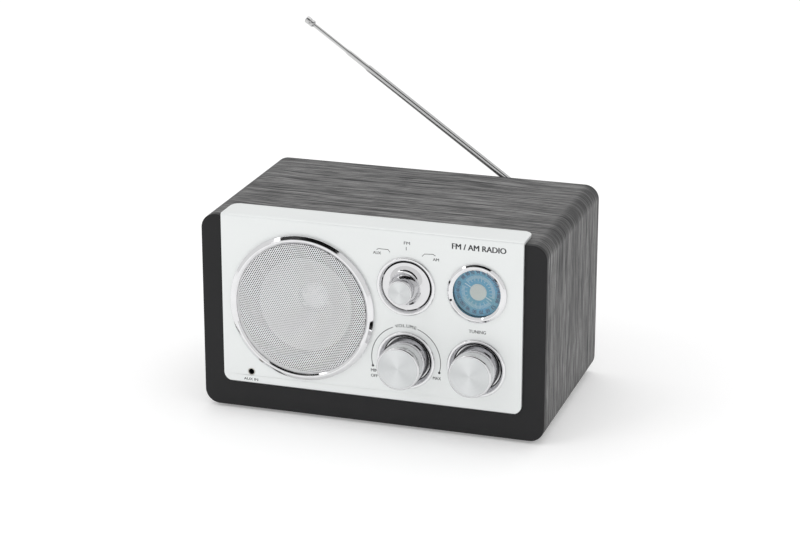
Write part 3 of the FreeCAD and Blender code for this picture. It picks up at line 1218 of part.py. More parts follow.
# ---------------------------------------------------------------- all the pieces
def build():
    os.makedirs("parts", exist_ok=True)
    save("cabinet_sleeve", cabinet_sleeve())
    save("rubber_feet", *rubber_feet())
    save("cabinet_screws", *cabinet_screws())
    save("rear_cover", rear_cover())
    save("front_baffle", front_baffle())
    save("fascia_plate", fascia_plate())
    save("speaker_trim_ring", speaker_trim_ring())
    save("speaker_grille", speaker_grille())
    save("speaker_basket", speaker_basket())
    save("speaker_screws", *speaker_screws())
    save("speaker_surround", speaker_surround())
    save("speaker_cone", speaker_cone())
    save("speaker_dust_cap", speaker_dust_cap())
    save("speaker_voice_coil", speaker_voice_coil())
    save("speaker_spider", speaker_spider())
    save("speaker_top_plate", speaker_top_plate())
    save("speaker_magnet", speaker_magnet())
    save("speaker_yoke", speaker_yoke())
    bushing_hole = BUSHING_RADIUS + SCREW_CLEARANCE
    save("volume_bezel", bezel(VOLUME_CENTRE, bushing_hole))
    save("band_bezel", bezel(BAND_CENTRE, bushing_hole))
    save("tuning_bezel", bezel(TUNING_CENTRE, FRONT_BUSH_RADIUS + SCREW_CLEARANCE))
    save("panel_nuts", *panel_nuts())
    save("volume_pot", volume_pot())
    save("band_switch", band_switch())
    control_back = BAFFLE_THICKNESS + SHAFT_CONTROL_REACH
    save("volume_shaft", control_shaft(VOLUME_CENTRE, VOLUME_KNOB_REACH, control_back))
    save("band_shaft", control_shaft(BAND_CENTRE, BAND_KNOB_REACH, control_back))
    tuning_back = PLATE_BACK + BUSH_PROUD + SHAFT_TAIL
    save("tuning_shaft", control_shaft(TUNING_CENTRE, TUNING_KNOB_REACH, tuning_back))
    save("volume_knob", round_knob(VOLUME_CENTRE, VOLUME_KNOB_REACH))
    save("tuning_knob", round_knob(TUNING_CENTRE, TUNING_KNOB_REACH))
    save("band_knob", band_knob())
    save("volume_knob_cap", knob_cap(VOLUME_CENTRE, VOLUME_KNOB_REACH, round_cap_radius()))
    save("tuning_knob_cap", knob_cap(TUNING_CENTRE, TUNING_KNOB_REACH, round_cap_radius()))
    save("band_knob_cap", knob_cap(BAND_CENTRE, BAND_KNOB_REACH, BAND_FACE_RADIUS - CAP_RIM))
    save("dial_bezel", dial_bezel())
    save("dial_lens", dial_lens())
    save("dial_disc", dial_disc())
    save("dial_shaft", dial_shaft())
    save("dial_gear", dial_gear())
    save("dial_lamps", *dial_lamps())
    save("idler_gear", idler_gear())
    save("idler_pin", idler_pin())
    save("tuning_pinion", tuning_pinion())
    save("shaft_bushes", *shaft_bushes())
    save("gear_plate", gear_plate())
    save("gear_plate_posts", *gear_plate_posts())
    save("tuning_capacitor", tuning_capacitor())
    save("aux_jack", aux_jack())
    save("mains_inlet", mains_inlet())
    save("main_board", main_board())
    save("board_standoffs", *board_standoffs())
    save("board_parts", *board_parts())
    save("ferrite_antenna", *ferrite_antenna())
    save("transformer", *transformer())
    save("inner_leads", *inner_leads())
    save("antenna_fork", antenna_fork())
    save("antenna_elbow_pin", antenna_elbow_pin())
    save("antenna_base_tube", antenna_base_tube())
    save("antenna_middle_tube", antenna_middle_tube())
    save("antenna_inner_rod", antenna_inner_rod())
    save("antenna_tip", antenna_tip())


build()
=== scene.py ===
import json
import math

import bmesh
import bpy
import numpy as np
from bpy.props import FloatProperty, FloatVectorProperty, IntProperty, PointerProperty
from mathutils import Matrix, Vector


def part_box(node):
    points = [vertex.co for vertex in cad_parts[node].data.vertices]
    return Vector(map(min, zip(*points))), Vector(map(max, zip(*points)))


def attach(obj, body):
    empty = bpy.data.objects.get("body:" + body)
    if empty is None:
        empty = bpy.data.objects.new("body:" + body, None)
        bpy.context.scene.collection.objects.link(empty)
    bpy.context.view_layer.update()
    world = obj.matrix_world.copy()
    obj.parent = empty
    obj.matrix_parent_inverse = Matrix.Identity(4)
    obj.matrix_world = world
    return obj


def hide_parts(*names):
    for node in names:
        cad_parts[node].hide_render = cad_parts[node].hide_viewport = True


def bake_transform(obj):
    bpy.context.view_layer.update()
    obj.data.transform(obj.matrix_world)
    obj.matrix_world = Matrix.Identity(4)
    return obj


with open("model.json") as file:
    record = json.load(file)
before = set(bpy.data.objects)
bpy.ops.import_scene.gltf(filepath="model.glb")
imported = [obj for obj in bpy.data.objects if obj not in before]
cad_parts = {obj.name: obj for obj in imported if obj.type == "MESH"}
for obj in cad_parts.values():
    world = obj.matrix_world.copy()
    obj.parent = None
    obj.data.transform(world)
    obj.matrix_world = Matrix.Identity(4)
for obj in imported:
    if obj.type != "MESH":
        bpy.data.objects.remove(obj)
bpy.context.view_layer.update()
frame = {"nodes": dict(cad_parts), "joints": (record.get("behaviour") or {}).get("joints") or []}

bl_info = {
    "name": "Tabletop Radio",
    "version": (1, 0, 0),
    "blender": (4, 5, 0),
    "location": "View3D > Sidebar > Radio",
    "description": "Builds the visible pieces and finishes of a tabletop radio round its frame",
    "category": "Add Mesh",
}

MM = 0.001

# Shapes are worked out in millimetres and go into their meshes in metres.
# A shape is drawn as (across, up, along), and a Place says where those three lie in the frame.

# ---------------------------------------------------------------- sizes that the frame's boxes don't give
CORNER_RADIUS = 9.0
WALL = 9.0
REBATE_WIDTH = 5.0
REBATE_DEPTH = 4.0
BAFFLE_THICKNESS = 4.0
BAFFLE_EDGE = 0.8
RIM_CLEARANCE = 0.3
RIM_WALL = 2.5
FASCIA_THICKNESS = 2.0
FASCIA_FOLD = 1.5
FASCIA_FRONT_CORNER = 5.5
FASCIA_FLANGE_CORNER = 6.0
TRIM_INNER_RADIUS = 41.3
GRILLE_THICKNESS = 0.8
GRILLE_CROWN = 2.2
GRILLE_GROOVE = 0.45
SPEAKER_OPENING_RADIUS = 36.0
CONE_RADIUS = 30.0
CONE_THICKNESS = 0.5
SPIDER_RIPPLES = 3
SPIDER_CUP = 1.15
DISH_RADIUS = 14.5
DISH_EDGE_DEPTH = 1.5
DISH_FLOOR_THICKNESS = 1.0
DISH_WALL = 1.0
HOLE_CLEARANCE = 0.2
KNOB_FACE_RADIUS = 13.3
KNOB_WALL = 1.6
KNOB_HUB_RADIUS = 5.5
KNOB_HUB_DEPTH = 4.0
KNOB_EDGE = 0.6
CAP_RIM = 0.6
CAP_THICKNESS = 0.8
BAND_FACE_RADIUS = 7.3
BAND_POST_RADIUS = 8.5
BAND_FLARE_DEPTH = 4.2
DIAL_OPENING_RADIUS = 14.5
DIAL_SPIGOT_RADIUS = 15.4
DIAL_SPIGOT_WALL = 0.8
DIAL_HUB_RADIUS = 5.1
INK_RISE = 0.04
AUX_BORE = 1.78
AUX_NOSE = 2.28
AUX_NOSE_CLEARANCE = 0.05
AUX_BARREL = 3.0
AUX_BACK_WALL = 2
TRIM_SHOULDER = 0.6
TRIM_SLOPE_END = 0.9
GRILLE_SEAT = 0.5
GRILLE_SHEET = 0.5
GRILLE_SKIRT_LAP = 0.1
BEZEL_HOLE_RADIUS = 4.4
BEZEL_SLOPE_END = 1.7
BEZEL_CREST_EDGE = 0.5
BEZEL_SHOULDER = 0.6
KNOB_ROOF = 2
BAND_FLARE_EDGE = 0.25
BAND_FLARE_BEND = 0.5
BAND_SKIN = 1
DIAL_LIP = 0.8
DIAL_LIP_DEPTH = 0.5
DIAL_SLOPE_IN = 1.5
DIAL_SLOPE_OUT = 1.4
DIAL_SHOULDER = 0.2
DIAL_PIP_RADIUS = 0.85
LENS_CROWN = 0.45
LENS_HOLLOW = 0.05
DISC_THICKNESS = 1.2
DISC_WEB = 0.6
DISC_BOSS_RADIUS = 3.2
DISC_BORE_RADIUS = 2.0
FOOT_RADIUS = 8.0
FOOT_DISH_RADIUS = 5.2
FOOT_DISH_RIM = 5.8
FOOT_DISH_DEPTH = 0.5
FOOT_TAPER = 0.3
ANTENNA_TUBE_WALL = 0.34
ANTENNA_TUBE_BEAD = 0.12
DRILL_OVERRUN = 1
FAR_FROM_END = 99

DISHED_BEZELS = ("volume_bezel", "tuning_bezel", "band_bezel")


# ---------------------------------------------------------------- what a user may change
class RadioSizes(bpy.types.PropertyGroup):
    turned_steps: IntProperty(
        name="Turned steps", description="Points round each turned piece", default=128, min=24)
    corner_steps: IntProperty(
        name="Corner steps", description="Points round each corner of the cabinet", default=14, min=3)
    hole_pitch: FloatProperty(
        name="Grille pitch", description="Distance between the grille's holes, in millimetres",
        default=1.3, min=0.8)
    hole_radius: FloatProperty(
        name="Grille hole", description="Radius of each hole in the grille, in millimetres",
        default=0.53, min=0.1)


class RadioColours(bpy.types.PropertyGroup):
    wood_dark: FloatVectorProperty(
        name="Veneer dark", description="Pores and dark grain of the charcoal veneer",
        subtype="COLOR", size=3, default=(0.018, 0.018, 0.020))
    wood_light: FloatVectorProperty(
        name="Veneer light", description="Light grain of the charcoal veneer",
        subtype="COLOR", size=3, default=(0.245, 0.243, 0.24))
    plastic: FloatVectorProperty(
        name="Black plastic", description="Baffle, rear cover and inlet",
        subtype="COLOR", size=3, default=(0.016, 0.016, 0.017))
    silver: FloatVectorProperty(
        name="Fascia", description="Satin silver of the fascia",
        subtype="COLOR", size=3, default=(0.81, 0.83, 0.825))
    dial: FloatVectorProperty(
        name="Dial", description="Blue of the tuning dial",
        subtype="COLOR", size=3, default=(0.085, 0.37, 0.60))
    ink: FloatVectorProperty(
        name="Ink", description="Printed marks on the fascia",
        subtype="COLOR", size=3, default=(0.022, 0.022, 0.026))


class RadioStudio(bpy.types.PropertyGroup):
    azimuth: FloatProperty(
        name="Azimuth", description="Camera's turn to the right of straight ahead",
        subtype="ANGLE", unit="ROTATION", default=math.radians(17.857))
    elevation: FloatProperty(
        name="Elevation", description="Camera's angle above the target",
        subtype="ANGLE", unit="ROTATION", default=math.radians(18.847))
    distance: FloatProperty(
        name="Distance", description="Camera to target", unit="LENGTH", default=1.4959)
    target: FloatVectorProperty(
        name="Target", description="Point that the camera looks at",
        subtype="TRANSLATION", unit="LENGTH", size=3, default=(-0.00276, 0.00485, 0.07967))
    lens: FloatProperty(name="Lens", description="Focal length", unit="CAMERA", default=108.8)
    key_power: FloatProperty(
        name="Light power", description="Power that the key and top lights take their share of",
        unit="POWER", default=16.0)


# ---------------------------------------------------------------- reading the frame
def limits(node):
    """Lowest and highest corner of a CAD node, in millimetres."""
    low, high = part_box(node)
    return np.array(low) / MM, np.array(high) / MM


def middle(node):
    low, high = limits(node)
    return (low + high) / 2


def radius_of(node):
    """Half the width of a node that is turned about the front-to-back line."""
    low, high = limits(node)
    return (high[0] - low[0]) / 2


def span(node, origin, direction):
    """How far a node reaches along a direction from a point: least and most, in millimetres."""
    mesh = frame["nodes"][node].data
    points = np.empty(len(mesh.vertices) * 3, np.float32)
    mesh.vertices.foreach_get("co", points)
    along = (points.reshape(-1, 3) / MM - origin) @ direction
    return along.min(), along.max()


def joint_axis(name):
    joint = next(j for j in frame["joints"] if j["name"] == name)
    axis = np.array(joint["axis"], float)
    return axis / np.linalg.norm(axis)


class Place:
    """Where a shape drawn as (across, up, along) stands in the frame."""

    def __init__(self, origin=(0, 0, 0), across=(1, 0, 0), up=(0, 0, 1), along=(0, 1, 0)):
        self.origin = np.array(origin, float)
        self.axes = np.array([across, up, along], float)

    def __call__(self, points):
        return self.origin + points @ self.axes

    def turned_by(self, angle):
        """The same place with across and up turned about along, anticlockwise in radians."""
        across, up, along = self.axes
        c, s = math.cos(angle), math.sin(angle)
        return Place(self.origin, c * across + s * up, c * up - s * across, along)

    def moved(self, across, up, along=0.0):
        return Place(self.origin + np.array([across, up, along]) @ self.axes, *self.axes)


def facing(node):
    """Place on a node's own front-to-back line, with along measured from the frame's y = 0."""
    centre = middle(node)
    return Place((centre[0], 0, centre[2]))


# ---------------------------------------------------------------- surfaces
def softened(points, reach, steps=4, closed=True):
    """Outline with its corners eased.

    A corner P becomes the quadratic curve (1-s)^2 A + 2s(1-s) P + s^2 B, where A and B lie
    reach before and after it, or just under half way to its neighbour if that is nearer."""
    points = np.asarray(points, float)
    to_last = np.roll(points, 1, 0) - points
    to_next = np.roll(points, -1, 0) - points
    last_length = np.linalg.norm(to_last, axis=1)
    next_length = np.linalg.norm(to_next, axis=1)
    reach = np.minimum(np.broadcast_to(reach, len(points)), 0.49 * np.minimum(last_length, next_length))
    if not closed:
        reach = reach * (np.arange(len(points)) % (len(points) - 1) > 0)
    before = points + to_last * (reach / last_length)[:, None]
    after = points + to_next * (reach / next_length)[:, None]
    s = np.linspace(0, 1, steps + 1)[None, :, None]
    curve = (1 - s) ** 2 * before[:, None] + 2 * s * (1 - s) * points[:, None] + s ** 2 * after[:, None]
    curve = curve.reshape(-1, 2)
    apart = np.linalg.norm(curve - np.roll(curve, 1, 0), axis=1) > 1e-6
    apart[0] = True
    return curve[apart]


def grid_quads(rows, columns, rows_closed, columns_closed):
    """Corners of the quads between neighbouring points of a grid, numbered row by row."""
    row = np.arange(rows if rows_closed else rows - 1)[:, None]
    column = np.arange(columns if columns_closed else columns - 1)[None, :]
    next_row = (row + 1) % rows
    next_column = (column + 1) % columns
    corners = (row * columns + column, row * columns + next_column,
               next_row * columns + next_column, next_row * columns + column)
    return np.stack(np.broadcast_arrays(*corners), -1).reshape(-1, 4)


def grid_surface(grid, rows_closed=False, columns_closed=True, capped=False, uv=None):
    """A grid of points (rows, columns, 3) as (points, faces, a UV for each corner or None).

    uv holds one more row or column than a closed grid, for the far side of its seam."""
    rows, columns = grid.shape[:2]
    faces = grid_quads(rows, columns, rows_closed, columns_closed)
    corners = None
    if uv is not None:
        wide = uv.shape[1]
        row, column = np.divmod(faces[:, 0], columns)
        first = row * wide + column
        order = np.stack([first, first + 1, first + wide + 1, first + wide], -1)
        corners = uv.reshape(-1, 2)[order].reshape(-1, 2)
    faces = faces.tolist()
    if capped:
        ends = [list(range(columns)), list(range((rows - 1) * columns, rows * columns))]
        faces += ends
        if corners is not None:
            corners = np.concatenate([corners, np.zeros((2 * columns, 2))])
    return grid.reshape(-1, 3), faces, corners


def joined(*surfaces):
    """Several surfaces as one, without UVs."""
    points, faces, first = [], [], 0
    for surface in surfaces:
        points.append(surface[0])
        faces += [[first + i for i in face] for face in surface[1]]
        first += len(surface[0])
    return np.concatenate(points), faces, None


def turned(place, profile, steps, closed=True, polar_uv=False):
    """Surface of revolution: (r, t) of the profile goes to (r cos a, r sin a, t) for a full turn of a.

    The UV is the share of the turn and the length along the profile, in metres."""
    profile = np.asarray(profile, float)
    angle = np.linspace(0, 2 * math.pi, steps, endpoint=False)
    radius, along = profile[:, 0, None], profile[:, 1, None]
    grid = np.stack(np.broadcast_arrays(radius * np.cos(angle), radius * np.sin(angle), along), -1)
    uv = None
    if polar_uv:
        uv = lengths_uv(np.linspace(0, 1, steps + 1), profile, closed)
    return grid_surface(place(grid), rows_closed=closed, uv=uv)


def lengths_uv(across, profile, closed):
    """UV grid: the given values across, and the length along the profile, in metres, down."""
    path = np.concatenate([profile, profile[:1]]) if closed else profile
    down = np.concatenate([[0], np.cumsum(np.linalg.norm(np.diff(path, axis=0), axis=1))]) * MM
    return np.stack(np.meshgrid(across, down), -1)


def rounded_rectangle(width, height, radius, steps):
    """Outline of a round-cornered rectangle about 0, from its bottom middle, with its outward normals.

    Each corner is centre + radius (cos a, sin a) over a quarter turn of a."""
    angle = np.linspace(-math.pi / 2, 0, steps + 1)
    points, normals = [np.array([[0, -height / 2]])], [np.array([[0, -1.0]])]
    for i, (side, end) in enumerate(((1, -1), (1, 1), (-1, 1), (-1, -1))):
        turn = angle + i * math.pi / 2
        normal = np.stack([np.cos(turn), np.sin(turn)], -1)
        centre = np.array([side * (width / 2 - radius), end * (height / 2 - radius)])
        points.append(centre + radius * normal)
        normals.append(normal)
    return np.concatenate(points), np.concatenate(normals)


def slab(place, outline, section, closed=False, wrap_uv=False):
    """A section (inset, along) carried round an outline: each point moves in by inset along its normal.

    An open section gets a flat face at each end. The UV is the length round and the length of section."""
    points, normals = outline
    section = np.asarray(section, float)
    flat = points[None] - section[:, 0, None, None] * normals[None]
    along = np.broadcast_to(section[:, 1, None, None], flat.shape[:2] + (1,))
    uv = None
    if wrap_uv:
        ring = np.concatenate([points, points[:1]])
        round_it = np.concatenate([[0], np.cumsum(np.linalg.norm(np.diff(ring, axis=0), axis=1))]) * MM
        uv = lengths_uv(round_it, section, closed)
    grid = np.concatenate([flat, along], -1)
    return grid_surface(place(grid), rows_closed=closed, capped=not closed, uv=uv)


def drill(place, radius, front, back, steps=96):
    """Closed cylinder that cuts a hole."""
    profile = [(0, front), (radius, front), (radius, back), (0, back)]
    return turned(place, profile, steps, closed=False)


def ribbon(place, path, width, thickness):
    """Flat band of a width along a path (across, up), standing its thickness proud."""
    path = np.asarray(path, float)
    run = np.gradient(path, axis=0)
    run /= np.linalg.norm(run, axis=1)[:, None]
    side = np.stack([-run[:, 1], run[:, 0]], -1) * width / 2
    edges = [(1, 0), (1, thickness), (-1, thickness), (-1, 0)]
    columns = [np.concatenate([path + s * side, np.full((len(path), 1), t)], -1) for s, t in edges]
    return grid_surface(place(np.stack(columns, 1)), capped=True)


def put_in_scene(name, data):
    """A new object of the scene that holds the data."""
    obj = bpy.data.objects.new(name, data)
    bpy.context.scene.collection.objects.link(obj)
    return obj


def lettering(place, text, height, width=None, weight=0.0):
    """A word as a thin solid centred on its place, with its capitals at a height.

    A weight thickens its strokes: two more copies stand that far to either side, each a little lower."""
    curve = bpy.data.curves.new("word", "FONT")
    curve.body = text
    curve.resolution_u = 3
    curve.extrude = 0.5
    word = put_in_scene("word", curve)
    bpy.context.view_layer.update()
    mesh = bpy.data.meshes.new_from_object(word.evaluated_get(bpy.context.evaluated_depsgraph_get()))
    points = np.empty(len(mesh.vertices) * 3, np.float32)
    mesh.vertices.foreach_get("co", points)
    points = points.reshape(-1, 3).astype(float)
    faces = [list(face.vertices) for face in mesh.polygons]
    bpy.data.objects.remove(word)
    bpy.data.curves.remove(curve)
    bpy.data.meshes.remove(mesh)
    size = np.ptp(points, axis=0)
    points -= points.min(0) + size / 2
    up = height / size[1]
    across = width / size[0] if width else up
    points = points * [across, up, INK_RISE / size[2]]
    if not weight:
        return place(points), faces, None
    copies = [points * [1, 1, share] + [side * weight, 0, 0]
              for side, share in ((0, 1), (-1, 0.9), (1, 0.8))]
    return joined(*((place(copy), faces, None) for copy in copies))


# ---------------------------------------------------------------- pieces
def mesh_from(name, surface):
    """Mesh of a surface in metres, with its doubles merged and its faces turned outwards."""
    points, faces, corners = surface
    mesh = bpy.data.meshes.new(name)
    mesh.from_pydata(points * MM, [], faces)
    if corners is not None:
        mesh.uv_layers.new(name="along").data.foreach_set("uv", corners.ravel())
    work = bmesh.new()
    work.from_mesh(mesh)
    bmesh.ops.remove_doubles(work, verts=work.verts, dist=1e-7)
    bmesh.ops.recalc_face_normals(work, faces=work.faces)
    work.to_mesh(mesh)
    work.free()
    return mesh


def bake_modifiers(obj):
    """Replace a piece's mesh with what its modifiers make of it."""
    bpy.context.view_layer.update()
    made = bpy.data.meshes.new_from_object(obj.evaluated_get(bpy.context.evaluated_depsgraph_get()))
    made.name = obj.name
    obj.modifiers.clear()
    obj.data = made


def give_between(obj, place, outer, inner):
    """Bake a ring's place into its mesh and read its points.

    The points at its outer radius, by the cabinet, and at its inner radius, by the cone, are worked out but
    not used: the ring does not give between the two."""
    start, end = place(np.array([[outer, 0, 0], [inner, 0, 0]])) * MM
    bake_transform(obj)
    points = np.empty(len(obj.data.vertices) * 3, np.float32)
    obj.data.vertices.foreach_get("co", points)


def add_piece(name, surface, body, slot, replaces=(), cutters=(), bevel=0.0, sharp=38.0, finish_name=None,
              gives=None):
    """One finished piece: its surface, holes cut, edges eased, riding on its body; a piece with gives goes
    to give_between and rides on no body.
    """
    obj = put_in_scene(name, mesh_from(name, surface))
    if cutters:
        tool = put_in_scene("tool", mesh_from("tool", joined(*cutters)))
        holes = obj.modifiers.new("holes", "BOOLEAN")
        holes.operation = "DIFFERENCE"
        holes.solver = "EXACT"
        holes.object = tool
        bake_modifiers(obj)
        bpy.data.objects.remove(tool)
    if bevel:
        ease = obj.modifiers.new("edges", "BEVEL")
        ease.width = bevel * MM
        ease.segments = 2
        ease.limit_method = "ANGLE"
        ease.angle_limit = math.radians(35)
        ease.use_clamp_overlap = False
        bake_modifiers(obj)
    obj.data.shade_smooth()
    obj.data.set_sharp_from_angle(angle=math.radians(sharp))
    even = obj.modifiers.new("normals", "WEIGHTED_NORMAL")
    even.keep_sharp = True
    bake_modifiers(obj)
    obj.data.materials.clear()
    obj.data.materials.append(finish(finish_name or slot))
    if gives:
        give_between(obj, *gives)
    else:
        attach(obj, body)
    if replaces:
        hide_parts(*replaces)
    return obj


# ---------------------------------------------------------------- finishes
def new_finish(name, sockets):
    """A material with the given values on its Principled shader."""
    material = bpy.data.materials.new("radio_" + name)
    material.use_nodes = True
    tree = material.node_tree
    shader = tree.nodes["Principled BSDF"]
    for socket, value in sockets.items():
        shader.inputs[socket].default_value = value
    return material, tree, shader


def add(tree, kind, inputs=None, **settings):
    """A node with its settings, and its inputs given as values or as other nodes' outputs."""
    node = tree.nodes.new(kind)
    for key, value in settings.items():
        setattr(node, key, value)
    for key, value in (inputs or {}).items():
        if isinstance(value, bpy.types.NodeSocket):
            tree.links.new(value, node.inputs[key])
        else:
            node.inputs[key].default_value = value
    return node


def here(tree, scale=(1, 1, 1), uv=False, location=(0, 0, 0)):
    """Coordinates on the piece, in metres times the scale."""
    source = add(tree, "ShaderNodeTexCoord").outputs["UV" if uv else "Object"]
    mapping = add(tree, "ShaderNodeMapping", {"Vector": source, "Scale": scale, "Location": location})
    return mapping.outputs["Vector"]


def noise(tree, vector, scale, detail=3.0, roughness=0.55, distortion=0.0):
    node = add(tree, "ShaderNodeTexNoise", {"Vector": vector, "Scale": scale, "Detail": detail,
                                           "Roughness": roughness, "Distortion": distortion})
    return node.outputs["Fac"]


def ramp(tree, value, stops):
    """Colour ramp: stops are (position, grey or colour)."""
    node = add(tree, "ShaderNodeValToRGB", {"Fac": value})
    elements = node.color_ramp.elements
    while len(elements) < len(stops):
        elements.new(0.5)
    for element, (position, colour) in zip(elements, stops):
        element.position = position
        if isinstance(colour, (int, float)):
            colour = (colour, colour, colour)
        element.color = (*colour[:3], 1.0)
    return node.outputs["Color"]


def maths(tree, operation, a, b):
    return add(tree, "ShaderNodeMath", {0: a, 1: b}, operation=operation).outputs[0]


def weighted(tree, a, share_a, b, share_b):
    """Sum of two values, each times its share."""
    return maths(tree, "ADD", maths(tree, "MULTIPLY", a, share_a), maths(tree, "MULTIPLY", b, share_b))


def spread(tree, value, low, high, to_low, to_high):
    """Map a range of a value to another range, held at its ends."""
    return add(tree, "ShaderNodeMapRange", {"Value": value, "From Min": low, "From Max": high,
                                           "To Min": to_low, "To Max": to_high}).outputs["Result"]


def bumped(tree, shader, height, distance, strength=1.0):
    """Raise the surface by a height from 0 to 1 times a distance in millimetres."""
    bump = add(tree, "ShaderNodeBump", {"Height": height, "Distance": distance * MM, "Strength": strength})
    tree.links.new(bump.outputs["Normal"], shader.inputs["Normal"])


def scaled_colour(colour, share):
    return tuple(min(1.0, c * share) for c in colour)


def rounded_edge(tree):
    """Mask for the painted shade of the rounded long edges: from 0 on the cabinet's flats to about a half in
    the middle of each rounded long edge.

    It is the product of the shares, across and up, by which a point is past the start of the curve."""
    low, high = limits("cabinet_sleeve")
    half = (high - low) / 2
    centre = (high + low) / 2 * MM
    place = add(tree, "ShaderNodeSeparateXYZ", {0: here(tree, location=tuple(-centre))})
    shares = []
    for axis, reach in (("X", half[0]), ("Z", half[2])):
        out = maths(tree, "ABSOLUTE", place.outputs[axis], 0.0)
        shares.append(spread(tree, out, (reach - CORNER_RADIUS) * MM, reach * MM, 0.0, 1.0))
    return maths(tree, "MULTIPLY", shares[0], shares[1])


def wood_wrap():
    """Charcoal oak veneer: long streaks along the wrap, short dark pores between them, and a painted shade
    that darkens the rounded long edges.
    """
    colours = bpy.context.scene.radio_colours
    material, tree, shader = new_finish("wood_wrap", {"Roughness": 0.55, "Specular IOR Level": 0.35})
    sway = noise(tree, here(tree, (9, 14, 1), uv=True), 1.0, 2.0)
    place = here(tree, (1, 1, 1), uv=True)
    shift = maths(tree, "MULTIPLY", maths(tree, "SUBTRACT", sway, 0.5), 0.012)
    offset = add(tree, "ShaderNodeCombineXYZ", {"Y": shift}).outputs[0]
    swayed = add(tree, "ShaderNodeVectorMath", {0: place, 1: offset}, operation="ADD").outputs[0]

    def grain(along, over, detail, roughness=0.6):
        stretched = add(tree, "ShaderNodeMapping", {"Vector": swayed, "Scale": (along, over, 1)})
        return noise(tree, stretched.outputs[0], 1.0, detail, roughness)

    fine = spread(tree, grain(26, 850, 3.0), 0.40, 0.60, 0.0, 1.0)
    broad = spread(tree, grain(8, 240, 3.0), 0.38, 0.62, 0.0, 1.0)
    pores = spread(tree, grain(60, 1900, 2.0), 0.36, 0.47, 0.0, 1.0)
    mixed = weighted(tree, fine, 0.62, broad, 0.38)
    grained = maths(tree, "MULTIPLY", mixed, spread(tree, pores, 0.0, 1.0, 0.2, 1.0))
    # Painted shade: the veneer's tone falls to 0.6 of itself along the cabinet's rounded long edges.
    corner = spread(tree, rounded_edge(tree), 0.02, 0.4, 1.0, 0.6)
    tone = maths(tree, "MULTIPLY", grained, corner)
    dark, light = tuple(colours.wood_dark), tuple(colours.wood_light)
    centre = tuple((a + b) * 0.40 for a, b in zip(dark, light))
    colour = ramp(tree, tone, [(0.05, dark), (0.45, centre), (0.9, light)])
    tree.links.new(colour, shader.inputs["Base Color"])
    tree.links.new(spread(tree, tone, 0.0, 1.0, 0.66, 0.48), shader.inputs["Roughness"])
    bumped(tree, shader, tone, 0.08, 0.6)
    return material


def moulded(name, colour, roughness=0.5, grain=2600.0, depth=0.012, gloss=0.4):
    """Moulded plastic: a fine spark-eroded grain with a slow change of gloss."""
    material, tree, shader = new_finish(name, {"Roughness": roughness, "Specular IOR Level": gloss})
    fine = noise(tree, here(tree), grain, 2.0, 0.5)
    slow = noise(tree, here(tree), 35.0, 3.0, 0.6)
    tone = ramp(tree, weighted(tree, fine, 0.35, slow, 0.65),
                [(0.3, scaled_colour(colour, 0.86)), (0.7, scaled_colour(colour, 1.14))])
    tree.links.new(tone, shader.inputs["Base Color"])
    gloss_change = spread(tree, slow, 0.3, 0.7, roughness - 0.05, roughness + 0.06)
    tree.links.new(gloss_change, shader.inputs["Roughness"])
    bumped(tree, shader, fine, depth)
    return material


def black_plastic():
    return moulded("black_plastic", tuple(bpy.context.scene.radio_colours.plastic), 0.46, gloss=0.22)


def foot_rubber():
    return moulded("foot_rubber", (0.018, 0.018, 0.018), 0.78, 1400.0, 0.03)


def inner_plastic():
    return moulded("inner_plastic", (0.35, 0.34, 0.31), 0.5)


def gear_nylon():
    return moulded("gear_nylon", (0.72, 0.70, 0.62), 0.42, 3200.0, 0.006)


def surround_rubber():
    return moulded("surround_rubber", (0.03, 0.03, 0.03), 0.6, 1800.0, 0.02)


def fascia_silver():
    """Satin silver paint on steel: a fine metal flake with a soft sheen over it."""
    silver = tuple(bpy.context.scene.radio_colours.silver)
    material, tree, shader = new_finish("fascia_silver", {"Metallic": 0.35, "Roughness": 0.36})
    flake = noise(tree, here(tree), 5200.0, 2.0, 0.6)
    slow = noise(tree, here(tree), 22.0, 3.0, 0.55)
    tone = ramp(tree, weighted(tree, flake, 0.5, slow, 0.5),
                [(0.3, scaled_colour(silver, 0.965)), (0.7, scaled_colour(silver, 1.035))])
    tree.links.new(tone, shader.inputs["Base Color"])
    tree.links.new(spread(tree, slow, 0.3, 0.7, 0.33, 0.40), shader.inputs["Roughness"])
    bumped(tree, shader, flake, 0.003, 0.5)
    return material


def polished(name, colour, roughness, smudge=0.04, metallic=1.0):
    """Polished metal whose gloss changes with faint smudges and hairlines."""
    material, tree, shader = new_finish(name, {"Metallic": metallic})
    cloud = noise(tree, here(tree), 160.0, 4.0, 0.6)
    hair = noise(tree, here(tree, (1, 6, 1)), 1500.0, 2.0, 0.5)
    tone = ramp(tree, cloud, [(0.25, scaled_colour(colour, 0.95)), (0.75, colour)])
    tree.links.new(tone, shader.inputs["Base Color"])
    gloss = weighted(tree, cloud, 0.7, hair, 0.3)
    tree.links.new(spread(tree, gloss, 0.3, 0.7, roughness, roughness + smudge), shader.inputs["Roughness"])
    bumped(tree, shader, hair, 0.0006, 0.5)
    return material


def chrome():
    return polished("chrome", (0.80, 0.80, 0.81), 0.045)


def knob_chrome():
    return polished("knob_chrome", (0.72, 0.72, 0.73), 0.06)


def antenna_chrome():
    return polished("antenna_chrome", (0.58, 0.58, 0.58), 0.10, 0.06)


def plated_steel():
    return polished("plated_steel", (0.62, 0.60, 0.56), 0.28, 0.12)


def brass():
    return polished("brass", (0.78, 0.58, 0.26), 0.24, 0.12)


def copper():
    return polished("copper", (0.72, 0.34, 0.19), 0.26, 0.10)


def black_steel():
    return polished("black_steel", (0.045, 0.045, 0.048), 0.38, 0.12, 0.5)


def cone_silver():
    return polished("cone_silver", (0.74, 0.75, 0.77), 0.22, 0.08, 0.9)


def grille_metal():
    return polished("grille_metal", (0.97, 0.97, 0.98), 0.34, 0.08, 0.55)


